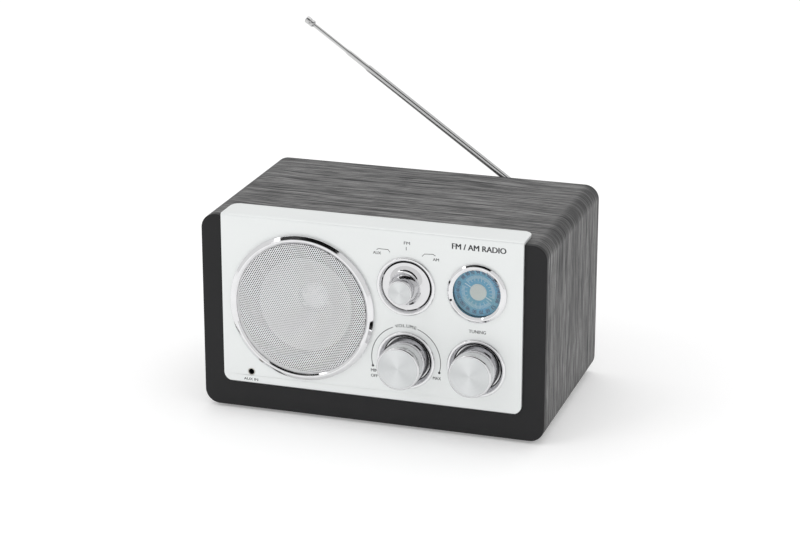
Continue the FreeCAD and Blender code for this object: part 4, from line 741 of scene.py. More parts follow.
def spun_aluminium():
    """Aluminium faced on a lathe: fine rings about the centre that spread its highlights into fans, and a
    painted reflection of those fans as bright and dark sectors round the centre in its colour.
    """
    material, tree, shader = new_finish("spun_aluminium", {
        "Metallic": 1.0, "Roughness": 0.30, "Anisotropic": 0.8})
    rings = noise(tree, here(tree, (0.6, 14000, 1), uv=True), 1.0, 3.0, 0.7)
    broad = noise(tree, here(tree, (5, 900, 1), uv=True), 1.0, 2.0, 0.5)
    # Painted reflection: this noise changes only round the turn, so it paints bright and dark sectors into
    # the colour.
    painted_fan_reflection = noise(tree, here(tree, (5, 0, 1), uv=True), 1.0, 0.0, 0.5)
    mixed = weighted(tree, rings, 0.2, broad, 0.1)
    mixed = maths(tree, "ADD", mixed, maths(tree, "MULTIPLY", painted_fan_reflection, 0.7))
    tone = ramp(tree, mixed, [(0.36, (0.58, 0.595, 0.60)), (0.64, (0.70, 0.715, 0.72))])
    tree.links.new(tone, shader.inputs["Base Color"])
    tangent = add(tree, "ShaderNodeTangent", direction_type="UV_MAP", uv_map="along")
    tree.links.new(tangent.outputs[0], shader.inputs["Tangent"])
    bumped(tree, shader, rings, 0.002, 0.5)
    return material


def dial_blue():
    """Blue dial face that drifts to teal in patches, with a faint screen-printed mottle; its emission is a
    painted glow, as the disc is no lamp.
    """
    blue = tuple(bpy.context.scene.radio_colours.dial)
    # Painted glow: the emission lifts the disc's colour although the disc is no lamp.
    material, tree, shader = new_finish("dial_blue", {
        "Roughness": 0.5, "Specular IOR Level": 0.2, "Emission Strength": 0.16})
    slow = noise(tree, here(tree), 60.0, 3.0, 0.5)
    fine = noise(tree, here(tree), 1800.0, 2.0, 0.5)
    teal = (blue[0] * 1.9, blue[1] * 1.08, blue[2] * 0.78)
    tone = ramp(tree, weighted(tree, slow, 0.8, fine, 0.2), [(0.3, blue), (0.7, teal)])
    tree.links.new(tone, shader.inputs["Base Color"])
    tree.links.new(tone, shader.inputs["Emission Color"])
    bumped(tree, shader, fine, 0.004, 0.4)
    return material


def printed(name, colour):
    """Screen-printed ink: nearly even, with a little texture where it lies on the metal."""
    material, tree, shader = new_finish(name, {"Roughness": 0.55})
    fine = noise(tree, here(tree), 2400.0, 2.0, 0.6)
    tone = ramp(tree, fine, [(0.3, scaled_colour(colour, 0.85)), (0.7, scaled_colour(colour, 1.2))])
    tree.links.new(tone, shader.inputs["Base Color"])
    return material


def ink():
    return printed("ink", tuple(bpy.context.scene.radio_colours.ink))


def dial_ink():
    return printed("dial_ink", (0.008, 0.05, 0.17))


def dial_line():
    return printed("dial_line", (0.72, 0.88, 0.95))


def hub_cream():
    return moulded("hub_cream", (0.80, 0.84, 0.78), 0.4, 2600.0, 0.004)


def clear_lens():
    """Clear moulded lens: a mirror whose share follows Fresnel, and clear for the rest."""
    material, tree, shader = new_finish("clear_lens", {
        "Metallic": 1.0, "Base Color": (0.97, 0.98, 1.0, 1.0)})
    cloud = noise(tree, here(tree), 220.0, 3.0, 0.5)
    tree.links.new(spread(tree, cloud, 0.3, 0.7, 0.02, 0.06), shader.inputs["Roughness"])
    mirror = add(tree, "ShaderNodeFresnel", {"IOR": 1.5}).outputs[0]
    tree.links.new(spread(tree, mirror, 0.0, 1.0, 0.0, 1.0), shader.inputs["Alpha"])
    return material


def core_steel():
    """Stack of steel laminations: fine lines across the stack."""
    material, tree, shader = new_finish("core_steel", {"Metallic": 0.8, "Roughness": 0.45})
    sheets = add(tree, "ShaderNodeTexWave", {"Vector": here(tree), "Scale": 320.0, "Distortion": 0.3},
                 bands_direction="Y").outputs["Fac"]
    tone = ramp(tree, sheets, [(0.2, (0.10, 0.10, 0.11)), (0.8, (0.34, 0.33, 0.32))])
    tree.links.new(tone, shader.inputs["Base Color"])
    bumped(tree, shader, sheets, 0.05)
    return material


def ferrite():
    return moulded("ferrite", (0.05, 0.048, 0.047), 0.55, 900.0, 0.03)


def fibrous(name, colour, roughness, strand, depth):
    """Pressed fibre: crossed short strands over a mottled ground."""
    material, tree, shader = new_finish(name, {"Roughness": roughness})
    one = noise(tree, here(tree, (1, 1, 6)), strand, 3.0, 0.65)
    two = noise(tree, here(tree, (6, 1, 1)), strand, 3.0, 0.65)
    both = maths(tree, "MULTIPLY", maths(tree, "ADD", one, two), 0.5)
    tone = ramp(tree, both, [(0.35, scaled_colour(colour, 0.8)), (0.65, scaled_colour(colour, 1.2))])
    tree.links.new(tone, shader.inputs["Base Color"])
    bumped(tree, shader, both, depth)
    return material


def cone_paper():
    return fibrous("cone_paper", (0.46, 0.46, 0.47), 0.6, 900.0, 0.05)


def spider_cloth():
    """Impregnated weave: two sets of threads crossing."""
    material, tree, shader = new_finish("spider_cloth", {"Roughness": 0.8})
    over = add(tree, "ShaderNodeTexWave", {"Vector": here(tree), "Scale": 700.0}, bands_direction="X")
    under = add(tree, "ShaderNodeTexWave", {"Vector": here(tree), "Scale": 700.0}, bands_direction="Z")
    weave = maths(tree, "MAXIMUM", over.outputs["Fac"], under.outputs["Fac"])
    tone = ramp(tree, weave, [(0.2, (0.35, 0.22, 0.10)), (0.9, (0.66, 0.50, 0.28))])
    tree.links.new(tone, shader.inputs["Base Color"])
    bumped(tree, shader, weave, 0.05)
    return material


def board_green():
    """Circuit board: green solder mask over faint tracks."""
    material, tree, shader = new_finish("board_green", {"Roughness": 0.32})
    cells = add(tree, "ShaderNodeTexVoronoi", {"Vector": here(tree), "Scale": 260.0},
                distance="MANHATTAN").outputs["Distance"]
    tone = ramp(tree, cells, [(0.25, (0.02, 0.16, 0.07)), (0.5, (0.015, 0.09, 0.045))])
    tree.links.new(tone, shader.inputs["Base Color"])
    bumped(tree, shader, cells, 0.02)
    return material


def lead_red():
    return moulded("lead_red", (0.45, 0.03, 0.025), 0.42, 1600.0, 0.008)


def lamp_glass():
    """Small lamp: clear glass tinted by its filament's glow."""
    material, tree, shader = new_finish("lamp_glass", {"Roughness": 0.08, "Coat Weight": 0.5})
    cloud = noise(tree, here(tree), 900.0, 2.0, 0.5)
    tone = ramp(tree, cloud, [(0.3, (0.85, 0.80, 0.68)), (0.7, (0.92, 0.90, 0.84))])
    tree.links.new(tone, shader.inputs["Base Color"])
    return material


FINISHES = (wood_wrap, black_plastic, foot_rubber, inner_plastic, gear_nylon, surround_rubber,
            fascia_silver, chrome, knob_chrome, antenna_chrome, plated_steel, brass, copper,
            black_steel, cone_silver, grille_metal, spun_aluminium, dial_blue, ink, dial_ink,
            dial_line, hub_cream, clear_lens, core_steel, ferrite, cone_paper, spider_cloth,
            board_green, lead_red, lamp_glass)


def finish(name):
    """The finish of that name, made when it is first asked for."""
    made = bpy.data.materials.get("radio_" + name)
    if made is None:
        made = next(make for make in FINISHES if make.__name__ == name)()
    return made


def dress(*nodes):
    """Give CAD nodes whose shape is right the finish of the slot that they came with."""
    for node in nodes:
        for holder in frame["nodes"][node].material_slots:
            if not holder.material.name.startswith("radio_"):
                holder.material = finish(holder.material.name.split(".")[0])


# ---------------------------------------------------------------- cabinet
def make_cabinet(sizes):
    """Four-sided sleeve: one section, with the rear cover's rebate, carried round the cabinet."""
    low, high = limits("cabinet_sleeve")
    place = facing("cabinet_sleeve")
    outline = rounded_rectangle(high[0] - low[0], high[2] - low[2], CORNER_RADIUS, sizes.corner_steps)
    front, back = low[1], high[1]
    lip = WALL - REBATE_WIDTH
    seat = back - REBATE_DEPTH
    section = softened([(0, front), (0, back), (lip, back), (lip, seat), (WALL, seat), (WALL, front)],
                       [0.2, 0.5, 0.3, 0, 0.3, 0.1])
    add_piece("cabinet_wrap", slab(place, outline, section, closed=True, wrap_uv=True),
              "cabinet", "wood_wrap", ["cabinet_sleeve"])


def front_holes(start, end):
    """Cylinders that cut the holes of the three bezels and of the dial."""
    bezel = DISH_RADIUS + DISH_WALL + HOLE_CLEARANCE
    dial = DIAL_SPIGOT_RADIUS + DIAL_SPIGOT_WALL + HOLE_CLEARANCE
    holes = [(node, bezel) for node in DISHED_BEZELS]
    holes.append(("dial_bezel", dial))
    return [drill(facing(node), radius, start, end) for node, radius in holes]


def make_baffle(sizes):
    """Black panel with its openings, and the rim behind it that fits inside the cabinet."""
    low, high = limits("front_baffle")
    place = facing("front_baffle")
    width, height = high[0] - low[0], high[2] - low[2]
    front = low[1]
    back = front + BAFFLE_THICKNESS
    outline = rounded_rectangle(width, height, CORNER_RADIUS, sizes.corner_steps)
    section = softened([(3, front), (0, front), (0, back), (3, back)], [0, BAFFLE_EDGE, 0.3, 0], 6,
                       closed=False)
    panel = slab(place, outline, section)
    inset = WALL + RIM_CLEARANCE
    rim_outline = rounded_rectangle(width - 2 * inset, height - 2 * inset, RIM_WALL, 6)
    deep = RIM_WALL * 0.98
    rim_section = softened([(0, back - 1), (0, high[1]), (deep, high[1]), (deep, back - 1)],
                           [0, 0.3, 0.3, 0])
    rim = slab(place, rim_outline, rim_section, closed=True)
    start, end = front - DRILL_OVERRUN, back + DRILL_OVERRUN
    cutters = [drill(facing("speaker_basket"), SPEAKER_OPENING_RADIUS, start, end, 128)]
    cutters += front_holes(start, end)
    cutters.append(drill(facing("aux_jack"), AUX_BARREL + HOLE_CLEARANCE, start, end, 48))
    add_piece("baffle_panel", panel, "cabinet", "black_plastic", ["front_baffle"], cutters)
    add_piece("baffle_rim", rim, "cabinet", "black_plastic")


def folded_sheet(place, half_width, rows):
    """Folded sheet from rows of (outer y, outer z, inner y, inner z, length in from the end, corner R).

    Near an end the half width is that of a round corner: w - R + sqrt(R^2 - (R - length)^2)."""
    rows = np.asarray(rows, float)
    radius = rows[:, 5]
    short = np.clip(radius - rows[:, 4], 0, radius)
    half = half_width - radius + np.sqrt(np.maximum(radius ** 2 - short ** 2, 0))
    columns = [(-1, 0), (1, 0), (1, 2), (-1, 2)]
    grid = np.stack([np.stack([side * half, rows[:, i + 1], rows[:, i]], -1) for side, i in columns], 1)
    return grid_surface(place(grid), capped=True)


def fascia_rows(low, high, steps):
    """Rows of the fascia from its bottom edge, up, round the fold and back along the flange."""
    front, top = low[1], high[2]
    back_face = front + FASCIA_THICKNESS
    under = top - FASCIA_THICKNESS
    ease = 1 - np.cos(np.linspace(0, math.pi / 2, steps))
    rows = []
    for length in ease * FASCIA_FRONT_CORNER:
        rows.append((front, low[2] + length, back_face, low[2] + length, length, FASCIA_FRONT_CORNER))
    for turn in np.linspace(0, math.pi / 2, steps // 2 + 1):
        y = front + FASCIA_FOLD * (1 - math.cos(turn))
        z = top - FASCIA_FOLD * (1 - math.sin(turn))
        rows.append((y, z, back_face, under, FAR_FROM_END, FASCIA_FRONT_CORNER))
    rows.append((back_face + 1, top, back_face + 1, under, FAR_FROM_END, FASCIA_FLANGE_CORNER))
    for length in ease[::-1] * FASCIA_FLANGE_CORNER:
        y = high[1] - length
        rows.append((y, top, y, under, length, FASCIA_FLANGE_CORNER))
    return rows


def make_fascia(sizes):
    """Silver sheet folded back over the cabinet, with its holes."""
    low, high = limits("fascia_plate")
    place = Place(((low[0] + high[0]) / 2, 0, 0))
    sheet = folded_sheet(place, (high[0] - low[0]) / 2, fascia_rows(low, high, sizes.corner_steps))
    start, end = low[1] - DRILL_OVERRUN, low[1] + FASCIA_THICKNESS + DRILL_OVERRUN
    trim = TRIM_INNER_RADIUS + GRILLE_THICKNESS + DISH_WALL + HOLE_CLEARANCE
    cutters = [drill(facing("speaker_trim_ring"), trim, start, end, 128)]
    cutters += front_holes(start, end)
    cutters.append(drill(facing("aux_jack"), AUX_NOSE + AUX_NOSE_CLEARANCE, start, end, 48))
    add_piece("fascia_sheet", sheet, "cabinet", "fascia_silver", ["fascia_plate"], cutters, bevel=0.25)


def make_feet():
    """Turned rubber feet with an eased rim and a shallow dish underneath."""
    low, high = limits("rubber_feet")
    dish = low[2] + FOOT_DISH_DEPTH
    profile = softened([
        (0, dish), (FOOT_DISH_RADIUS, dish), (FOOT_DISH_RIM, low[2]), (FOOT_RADIUS - FOOT_TAPER, low[2]),
        (FOOT_RADIUS, high[2]), (0, high[2])], [0, 0.3, 0.3, 0.6, 0.1, 0], closed=False)
    feet = []
    for x in (low[0] + FOOT_RADIUS, high[0] - FOOT_RADIUS):
        for y in (low[1] + FOOT_RADIUS, high[1] - FOOT_RADIUS):
            place = Place((x, y, 0), (1, 0, 0), (0, 1, 0), (0, 0, 1))
            feet.append(turned(place, profile, 64, closed=False))
    add_piece("rubber_foot_set", joined(*feet), "cabinet", "foot_rubber", ["rubber_feet"])


def make_socket():
    """Auxiliary socket: a plated nose level with the fascia's front, and its black barrel behind."""
    low, high = limits("aux_jack")
    place = facing("aux_jack")
    front, back = low[1], high[1]
    seat = front + FASCIA_THICKNESS
    panel = seat + BAFFLE_THICKNESS
    side = radius_of("aux_jack")
    nose = softened([(AUX_BORE, seat), (AUX_BORE, front), (AUX_NOSE, front), (AUX_NOSE, seat)], 0.12, 3)
    bottom = back - AUX_BACK_WALL
    barrel = softened([
        (AUX_BORE, seat), (AUX_BARREL, seat), (AUX_BARREL, panel), (side, panel), (side, back),
        (0, back), (0, bottom), (AUX_BORE, bottom)], [0.05, 0.1, 0.1, 0.2, 0.5, 0, 0, 0.1])
    add_piece("aux_nose", turned(place, nose, 48), "cabinet", "black_plastic", finish_name="plated_steel")
    add_piece("aux_barrel", turned(place, barrel, 48), "cabinet", "black_plastic", ["aux_jack"])


# ---------------------------------------------------------------- speaker's front
def make_speaker_front(sizes):
    """Chrome ring round the speaker, and what it frames: the grille, the roll and the spider."""
    low, high = limits("speaker_trim_ring")
    fascia_front = limits("fascia_plate")[0][1]
    place = facing("speaker_trim_ring")
    outer = radius_of("speaker_trim_ring")
    inner = TRIM_INNER_RADIUS
    crest, back = low[1], high[1]
    seat = inner + GRILLE_THICKNESS
    spigot = seat + DISH_WALL
    lip = crest + DISH_WALL
    across = (inner + outer) / 2
    profile = softened([
        (spigot, back), (spigot, fascia_front), (outer, fascia_front), (outer, lip + TRIM_SHOULDER),
        (across, crest), (across - TRIM_SLOPE_END, crest), (inner, lip), (inner, lip + GRILLE_SEAT),
        (seat, lip + GRILLE_SEAT), (seat, back)],
        [0.1, 0.1, 0.15, 0.25, 0.4, 0.4, 0.3, 0.1, 0.1, 0.1], 6)
    add_piece("speaker_ring", turned(place, profile, 192), "cabinet", "chrome", ["speaker_trim_ring"])
    make_grille(sizes, place)
    make_roll(place)
    make_spider(place)


def make_roll(place):
    """Half-roll of rubber that holds the cone's edge: a half circle between two flats."""
    low, high = limits("speaker_surround")
    outer, back = radius_of("speaker_surround"), high[1]
    front = back - CONE_THICKNESS
    inner = CONE_RADIUS - CONE_THICKNESS
    roll_in = CONE_RADIUS + CONE_THICKNESS
    rise = front - low[1]
    middle_radius = roll_in + rise
    turn = np.linspace(0, math.pi, 15)
    arc_out = np.stack([middle_radius + rise * np.cos(turn), front - rise * np.sin(turn)], -1)
    arc_back = np.stack([middle_radius - rise * np.cos(turn), back - rise * np.sin(turn)], -1)
    profile = np.concatenate([[(outer, back), (outer, front)], arc_out,
                              [(inner, front), (inner, back)], arc_back])
    add_piece("speaker_roll", turned(place, profile, 96), None, "surround_rubber", ["speaker_surround"],
              gives=(place, middle_radius + rise, roll_in))


def make_spider(place):
    """Corrugated cloth ring: its middle line is a cosine of three ripples along the radius.

    Towards the coil it is also cupped forwards, by 3t^2 - 2t^3 of a little more than the cone's travel,
    so that it stays clear of the basket's back when the cone is right in."""
    low, high = limits("speaker_spider")
    outer, back = radius_of("speaker_spider"), high[1]
    inner = radius_of("speaker_voice_coil")
    half = CONE_THICKNESS / 2
    rise = (high[1] - low[1] - CONE_THICKNESS) / 2
    flat = (outer - inner) / (2 * SPIDER_RIPPLES + 2)
    radius = np.linspace(inner, outer, 61)
    u = np.clip((radius - inner - flat) / (outer - inner - 2 * flat), 0, 1)
    cup = SPIDER_CUP * (3 * (1 - u) ** 2 - 2 * (1 - u) ** 3)
    line = back - half - rise * (1 - np.cos(2 * math.pi * SPIDER_RIPPLES * u)) - cup
    ahead = np.stack([radius, line - half], -1)
    behind = np.stack([radius[::-1], line[::-1] + half], -1)
    add_piece("spider_ring", turned(place, np.concatenate([ahead, behind]), 96), None, "spider_cloth",
              ["speaker_spider"], gives=(place, outer - flat, inner + flat))


def make_grille(sizes, place):
    """Perforated dome: hexagons of sheet, each with a six-sided hole, laid over part of a sphere."""
    low, high = limits("speaker_grille")
    rim_radius = TRIM_INNER_RADIUS
    crown = low[1]
    pitch = sizes.hole_pitch
    sphere = (rim_radius ** 2 + GRILLE_CROWN ** 2) / (2 * GRILLE_CROWN)
    count = int(rim_radius / pitch) + 2
    i, j = np.meshgrid(np.arange(-2 * count, 2 * count + 1), np.arange(-2 * count, 2 * count + 1))
    centres = np.stack([(i + j / 2) * pitch, j * pitch * math.sqrt(3) / 2], -1).reshape(-1, 2)
    centres = centres[np.hypot(*centres.T) < rim_radius - sizes.hole_radius * 0.5]
    turn = np.radians(30 + 60 * np.arange(6))
    corner = np.stack([np.cos(turn), np.sin(turn)], -1)
    cell = centres[:, None] + corner * pitch / math.sqrt(3)
    hole = centres[:, None] + corner * sizes.hole_radius
    flat = np.concatenate([cell, hole], 1).reshape(-1, 2)
    far = np.hypot(*flat.T)
    flat = flat * np.minimum(1, (rim_radius - GRILLE_GROOVE) / np.maximum(far, 1e-9))[:, None]
    radius = np.hypot(*flat.T)
    depth = crown + sphere - np.sqrt(sphere ** 2 - radius ** 2)
    first = np.arange(len(centres))[:, None] * 12
    a = np.arange(6)[None]
    b = (np.arange(6)[None] + 1) % 6
    faces = np.stack(np.broadcast_arrays(first + a, first + b, first + 6 + b, first + 6 + a), -1)
    faces = faces.reshape(-1, 4)
    sheet = (place(np.column_stack([flat, depth])), faces.tolist(), None)
    obj = put_in_scene("grille_mesh", mesh_from("grille_mesh", sheet))
    wall = obj.modifiers.new("sheet", "SOLIDIFY")
    wall.thickness = GRILLE_SHEET * MM
    wall.offset = -1
    bake_modifiers(obj)
    obj.data.materials.append(finish("grille_metal"))
    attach(obj, "cabinet")
    rim = crown + GRILLE_CROWN
    seat = rim_radius + GRILLE_THICKNESS
    groove = rim_radius - GRILLE_GROOVE - GRILLE_SKIRT_LAP
    skirt = softened([
        (groove, rim + GRILLE_SHEET), (rim_radius, rim + GRILLE_SHEET), (seat, rim), (seat, high[1]),
        (rim_radius, high[1]), (rim_radius, rim + GRILLE_THICKNESS), (groove, rim + GRILLE_THICKNESS)],
        0.1, 2)
    add_piece("grille_skirt", turned(place, skirt, 160), "cabinet", "grille_metal", ["speaker_grille"])


# ---------------------------------------------------------------- bezels and knobs
def make_bezels(sizes):
    """Dished rings behind the knobs: a flat floor, a wall, and a slope out to a narrow crest."""
    fascia_front = limits("fascia_plate")[0][1]
    for node in DISHED_BEZELS:
        low, high = limits(node)
        outer = radius_of(node)
        crest, back = low[1], high[1]
        floor = back - DISH_FLOOR_THICKNESS
        edge = fascia_front + DISH_EDGE_DEPTH
        wall = DISH_RADIUS + DISH_WALL
        profile = softened([
            (BEZEL_HOLE_RADIUS, floor), (DISH_RADIUS, floor), (DISH_RADIUS, edge),
            (outer - BEZEL_SLOPE_END, crest), (outer - BEZEL_CREST_EDGE, crest),
            (outer, crest + BEZEL_SHOULDER), (outer, fascia_front), (wall, fascia_front),
            (wall, back), (BEZEL_HOLE_RADIUS, back)],
            [0.1, 0.3, 0.25, 0.5, 0.35, 0.3, 0.1, 0.1, 0.1, 0.1], 5)
        add_piece(node + "_turned", turned(facing(node), profile, sizes.turned_steps),
                  "cabinet", "chrome", [node])


def face_cap(node, body, sizes):
    """Spun disc sunk in a knob's face, with rings about its centre."""
    low, high = limits(node)
    radius = radius_of(node)
    profile = softened([(0, low[1]), (radius, low[1]), (radius, high[1]), (0, high[1])],
                       [0, 0.12, 0.12, 0], 3, closed=False)
    surface = turned(facing(node), profile, sizes.turned_steps, closed=False, polar_uv=True)
    add_piece(node + "_spun", surface, body, "spun_aluminium", [node])


def make_round_knobs(sizes):
    """Volume and tuning knobs: hollow cones with a raised rim round the cap and a hub for the shaft."""
    for knob, body in (("volume_knob", "volume_control"), ("tuning_knob", "tuning_control")):
        low, high = limits(knob)
        face, base = low[1], high[1]
        base_radius = radius_of(knob)
        rim = KNOB_FACE_RADIUS - KNOB_EDGE
        cap = rim - CAP_RIM
        recess = face + CAP_THICKNESS
        roof = recess + KNOB_ROOF
        boss = base - KNOB_HUB_DEPTH
        profile = softened([
            (0, recess), (cap, recess), (cap, face), (rim, face), (KNOB_FACE_RADIUS, face + KNOB_EDGE),
            (base_radius, base), (base_radius - KNOB_WALL, base), (KNOB_FACE_RADIUS - KNOB_WALL, roof),
            (KNOB_HUB_RADIUS, roof), (KNOB_HUB_RADIUS, boss), (0, boss)],
            [0, 0, 0.1, 0.2, 0.3, 0.3, 0.2, 0.6, 0.4, 0.1, 0], 5, closed=False)
        add_piece(knob + "_turned", turned(facing(knob), profile, sizes.turned_steps, closed=False),
                  body, "knob_chrome", [knob])
        face_cap(knob + "_cap", body, sizes)


def make_band_knob(sizes):
    """Selector: a narrow post whose foot sweeps out to a thin flare.

    The sweep is the quadratic curve (1-s)^2 A + 2s(1-s) B + s^2 C from the post to the flare's rim."""
    low, high = limits("band_knob")
    face, foot = low[1], high[1]
    flare = radius_of("band_knob")
    neck = foot - BAND_FLARE_DEPTH
    rim = foot - BAND_FLARE_EDGE
    skin = BAND_POST_RADIUS - BAND_SKIN
    cap = BAND_FACE_RADIUS - CAP_RIM
    s = np.linspace(0, 1, 12)[1:-1, None]
    bend = BAND_POST_RADIUS + BAND_FLARE_BEND
    start, bend, end = np.array([(BAND_POST_RADIUS, neck), (bend, rim), (flare, rim)])
    sweep = (1 - s) ** 2 * start + 2 * s * (1 - s) * bend + s ** 2 * end
    front = [(0, face + CAP_THICKNESS), (cap, face + CAP_THICKNESS), (cap, face), (BAND_FACE_RADIUS, face),
             (BAND_POST_RADIUS, neck)]
    back = [(flare, rim), (flare, foot), (skin, foot), (skin, neck), (0, neck)]
    front = softened(front, [0, 0, 0.1, 0.35, 0], 5, closed=False)
    back = softened(back, [0, 0.25, 0.2, 0.2, 0], 4, closed=False)
    profile = np.concatenate([front, sweep, back])
    add_piece("band_knob_turned", turned(facing("band_knob"), profile, sizes.turned_steps, closed=False),
              "band_control", "knob_chrome", ["band_knob"])
    face_cap("band_knob_cap", "band_control", sizes)


# ---------------------------------------------------------------- dial
FM_MARKS = ("88", "90", "92", "94", "96", "98", "100", "102", "104", "106", "108")
AM_MARKS = ("53", "60", "70", "80", "90", "100", "120", "140", "160")
SCALE_HALF_TURN = math.radians(78)
SCALE_DIVIDE = math.radians(150)
NUMERAL_RADIUS = 12.4
TICK_INNER = 8.3
TICK_LONGER = 1.5
TICK_OUTER = 10.3
DIVIDE_INNER = 4.5
DIVIDE_OUTER = 9.5
NUMERAL_HEIGHT = 2.2
NUMERAL_WIDTH = 1.15


def scale_angles(count, centre):
    return np.linspace(centre + SCALE_HALF_TURN, centre - SCALE_HALF_TURN, count)


def dial_print(place):
    """Numerals that read outwards and their ticks, on two half circles."""
    numerals, ticks = [], []
    for marks, centre in ((FM_MARKS, SCALE_DIVIDE - math.pi / 2), (AM_MARKS, SCALE_DIVIDE + math.pi / 2)):
        for mark, angle in zip(marks, scale_angles(len(marks), centre)):
            spot = place.turned_by(angle - math.pi / 2).moved(0, NUMERAL_RADIUS)
            numerals.append(lettering(spot, mark, NUMERAL_HEIGHT, NUMERAL_WIDTH * len(mark), 0.09))
        for i, angle in enumerate(scale_angles(4 * len(marks) - 3, centre)):
            c, s = math.cos(angle), math.sin(angle)
            inner = TICK_INNER - TICK_LONGER * (i % 4 == 0)
            ticks.append(ribbon(place, [(inner * c, inner * s), (TICK_OUTER * c, TICK_OUTER * s)],
                                0.26, INK_RISE / 2))
    return joined(*numerals), joined(*ticks)


def make_dial(sizes):
    """Dial: its chrome ring, domed window, disc and the pip that it is read against."""
    fascia_front = limits("fascia_plate")[0][1]
    low, high = limits("dial_bezel")
    outer = radius_of("dial_bezel")
    crest, back = low[1], high[1]
    inner, spigot = DIAL_OPENING_RADIUS, DIAL_SPIGOT_RADIUS
    wall = spigot + DIAL_SPIGOT_WALL
    place = facing("dial_bezel")
    lip = crest + DIAL_LIP
    profile = softened([
        (inner, lip), (inner + DIAL_SLOPE_IN, crest), (outer - DIAL_SLOPE_OUT, crest),
        (outer, lip + DIAL_SHOULDER), (outer, fascia_front), (wall, fascia_front), (wall, back),
        (spigot, back), (spigot, lip + DIAL_LIP_DEPTH), (inner, lip + DIAL_LIP_DEPTH)],
        [0.2, 0.35, 0.35, 0.2, 0.1, 0.1, 0.1, 0.1, 0.1, 0.1], 6)
    add_piece("dial_ring", turned(place, profile, sizes.turned_steps), "cabinet", "chrome", ["dial_bezel"])

    low, high = limits("dial_lens")
    radius = radius_of("dial_lens")
    s = np.linspace(0, 1, 16)
    dome = np.stack([radius * s, low[1] + LENS_CROWN * s ** 2], -1)
    inside = np.stack([radius * s[::-1], high[1] - LENS_HOLLOW + LENS_HOLLOW * s[::-1] ** 2], -1)
    lens = turned(place, np.concatenate([dome, inside]), sizes.turned_steps, closed=False)
    add_piece("dial_window", lens, "cabinet", "clear_lens", ["dial_lens"])
    make_dial_disc(sizes)
    make_dial_index(place, crest, (inner + outer) / 2)


def make_dial_index(place, crest, radius):
    """Small black pip on the ring that the dial is read against."""
    angle = math.radians(198)
    spot = place.moved(radius * math.cos(angle), radius * math.sin(angle))
    s = np.linspace(0, math.pi / 2, 7)
    profile = np.stack([DIAL_PIP_RADIUS * np.sin(s), crest + 0.3 - 0.6 * np.cos(s)], -1)
    profile = np.concatenate([profile, [(DIAL_PIP_RADIUS, crest + 0.9), (0, crest + 0.9)]])
    add_piece("dial_index", turned(spot, profile, 32, closed=False), "cabinet", "black_plastic")


def make_dial_disc(sizes):
    """Blue disc on its boss, with its domed hub, numerals, ticks and the lines between the bands."""
    low, high = limits("dial_disc")
    radius = radius_of("dial_disc")
    front, back = low[1], high[1]
    place = facing("dial_disc")
    rear, web = front + DISC_THICKNESS, front + DISC_WEB
    profile = softened([
        (0, front), (radius, front), (radius, rear), (DISC_BOSS_RADIUS, rear), (DISC_BOSS_RADIUS, back),
        (DISC_BORE_RADIUS, back), (DISC_BORE_RADIUS, web), (0, web)],
        [0, 0.2, 0.2, 0.1, 0.1, 0.1, 0.1, 0], 3, closed=False)
    add_piece("dial_face", turned(place, profile, sizes.turned_steps, closed=False), "dial", "dial_blue",
              ["dial_disc"])
    s = np.linspace(0, 1, 10)
    hub = np.stack([DIAL_HUB_RADIUS * s, front - 0.75 + 0.35 * s ** 2], -1)
    hub = np.concatenate([hub, [(DIAL_HUB_RADIUS, front + 0.1), (0, front + 0.1)]])
    add_piece("dial_hub", turned(place, hub, 64, closed=False), "dial", "dial_blue", finish_name="hub_cream")
    printed_face = Place((place.origin[0], front, place.origin[2]), along=(0, -1, 0))
    numerals, ticks = dial_print(printed_face)
    add_piece("dial_numerals", numerals, "dial", "dial_blue", finish_name="dial_ink")
    add_piece("dial_ticks", ticks, "dial", "dial_blue", finish_name="dial_line")
    lines = []
    for angle in (SCALE_DIVIDE, SCALE_DIVIDE + math.pi):
        c, s = math.cos(angle), math.sin(angle)
        ends = [(DIVIDE_INNER * c, DIVIDE_INNER * s), (DIVIDE_OUTER * c, DIVIDE_OUTER * s)]
        lines.append(ribbon(printed_face, ends, 0.5, INK_RISE / 2))
    add_piece("dial_divides", joined(*lines), "dial", "dial_blue", finish_name="dial_line")


# ---------------------------------------------------------------- printing on the fascia
VOLUME_SCALE_RADIUS = 21.5
VOLUME_SCALE_ENDS = (195.6, -15.4)
VOLUME_WORD_RADIUS = 21.7
VOLUME_LETTER_STEP = 6.2


def fascia_spot(node, across, up):
    """Place on the fascia's front, a distance from a node's centre, facing forwards."""
    centre = middle(node)
    front = limits("fascia_plate")[0][1]
    return Place((centre[0] + across, front, centre[2] + up), along=(0, -1, 0))


def arc(radius, start, end, steps=40):
    angle = np.radians(np.linspace(start, end, steps))
    return np.stack([radius * np.cos(angle), radius * np.sin(angle)], -1)


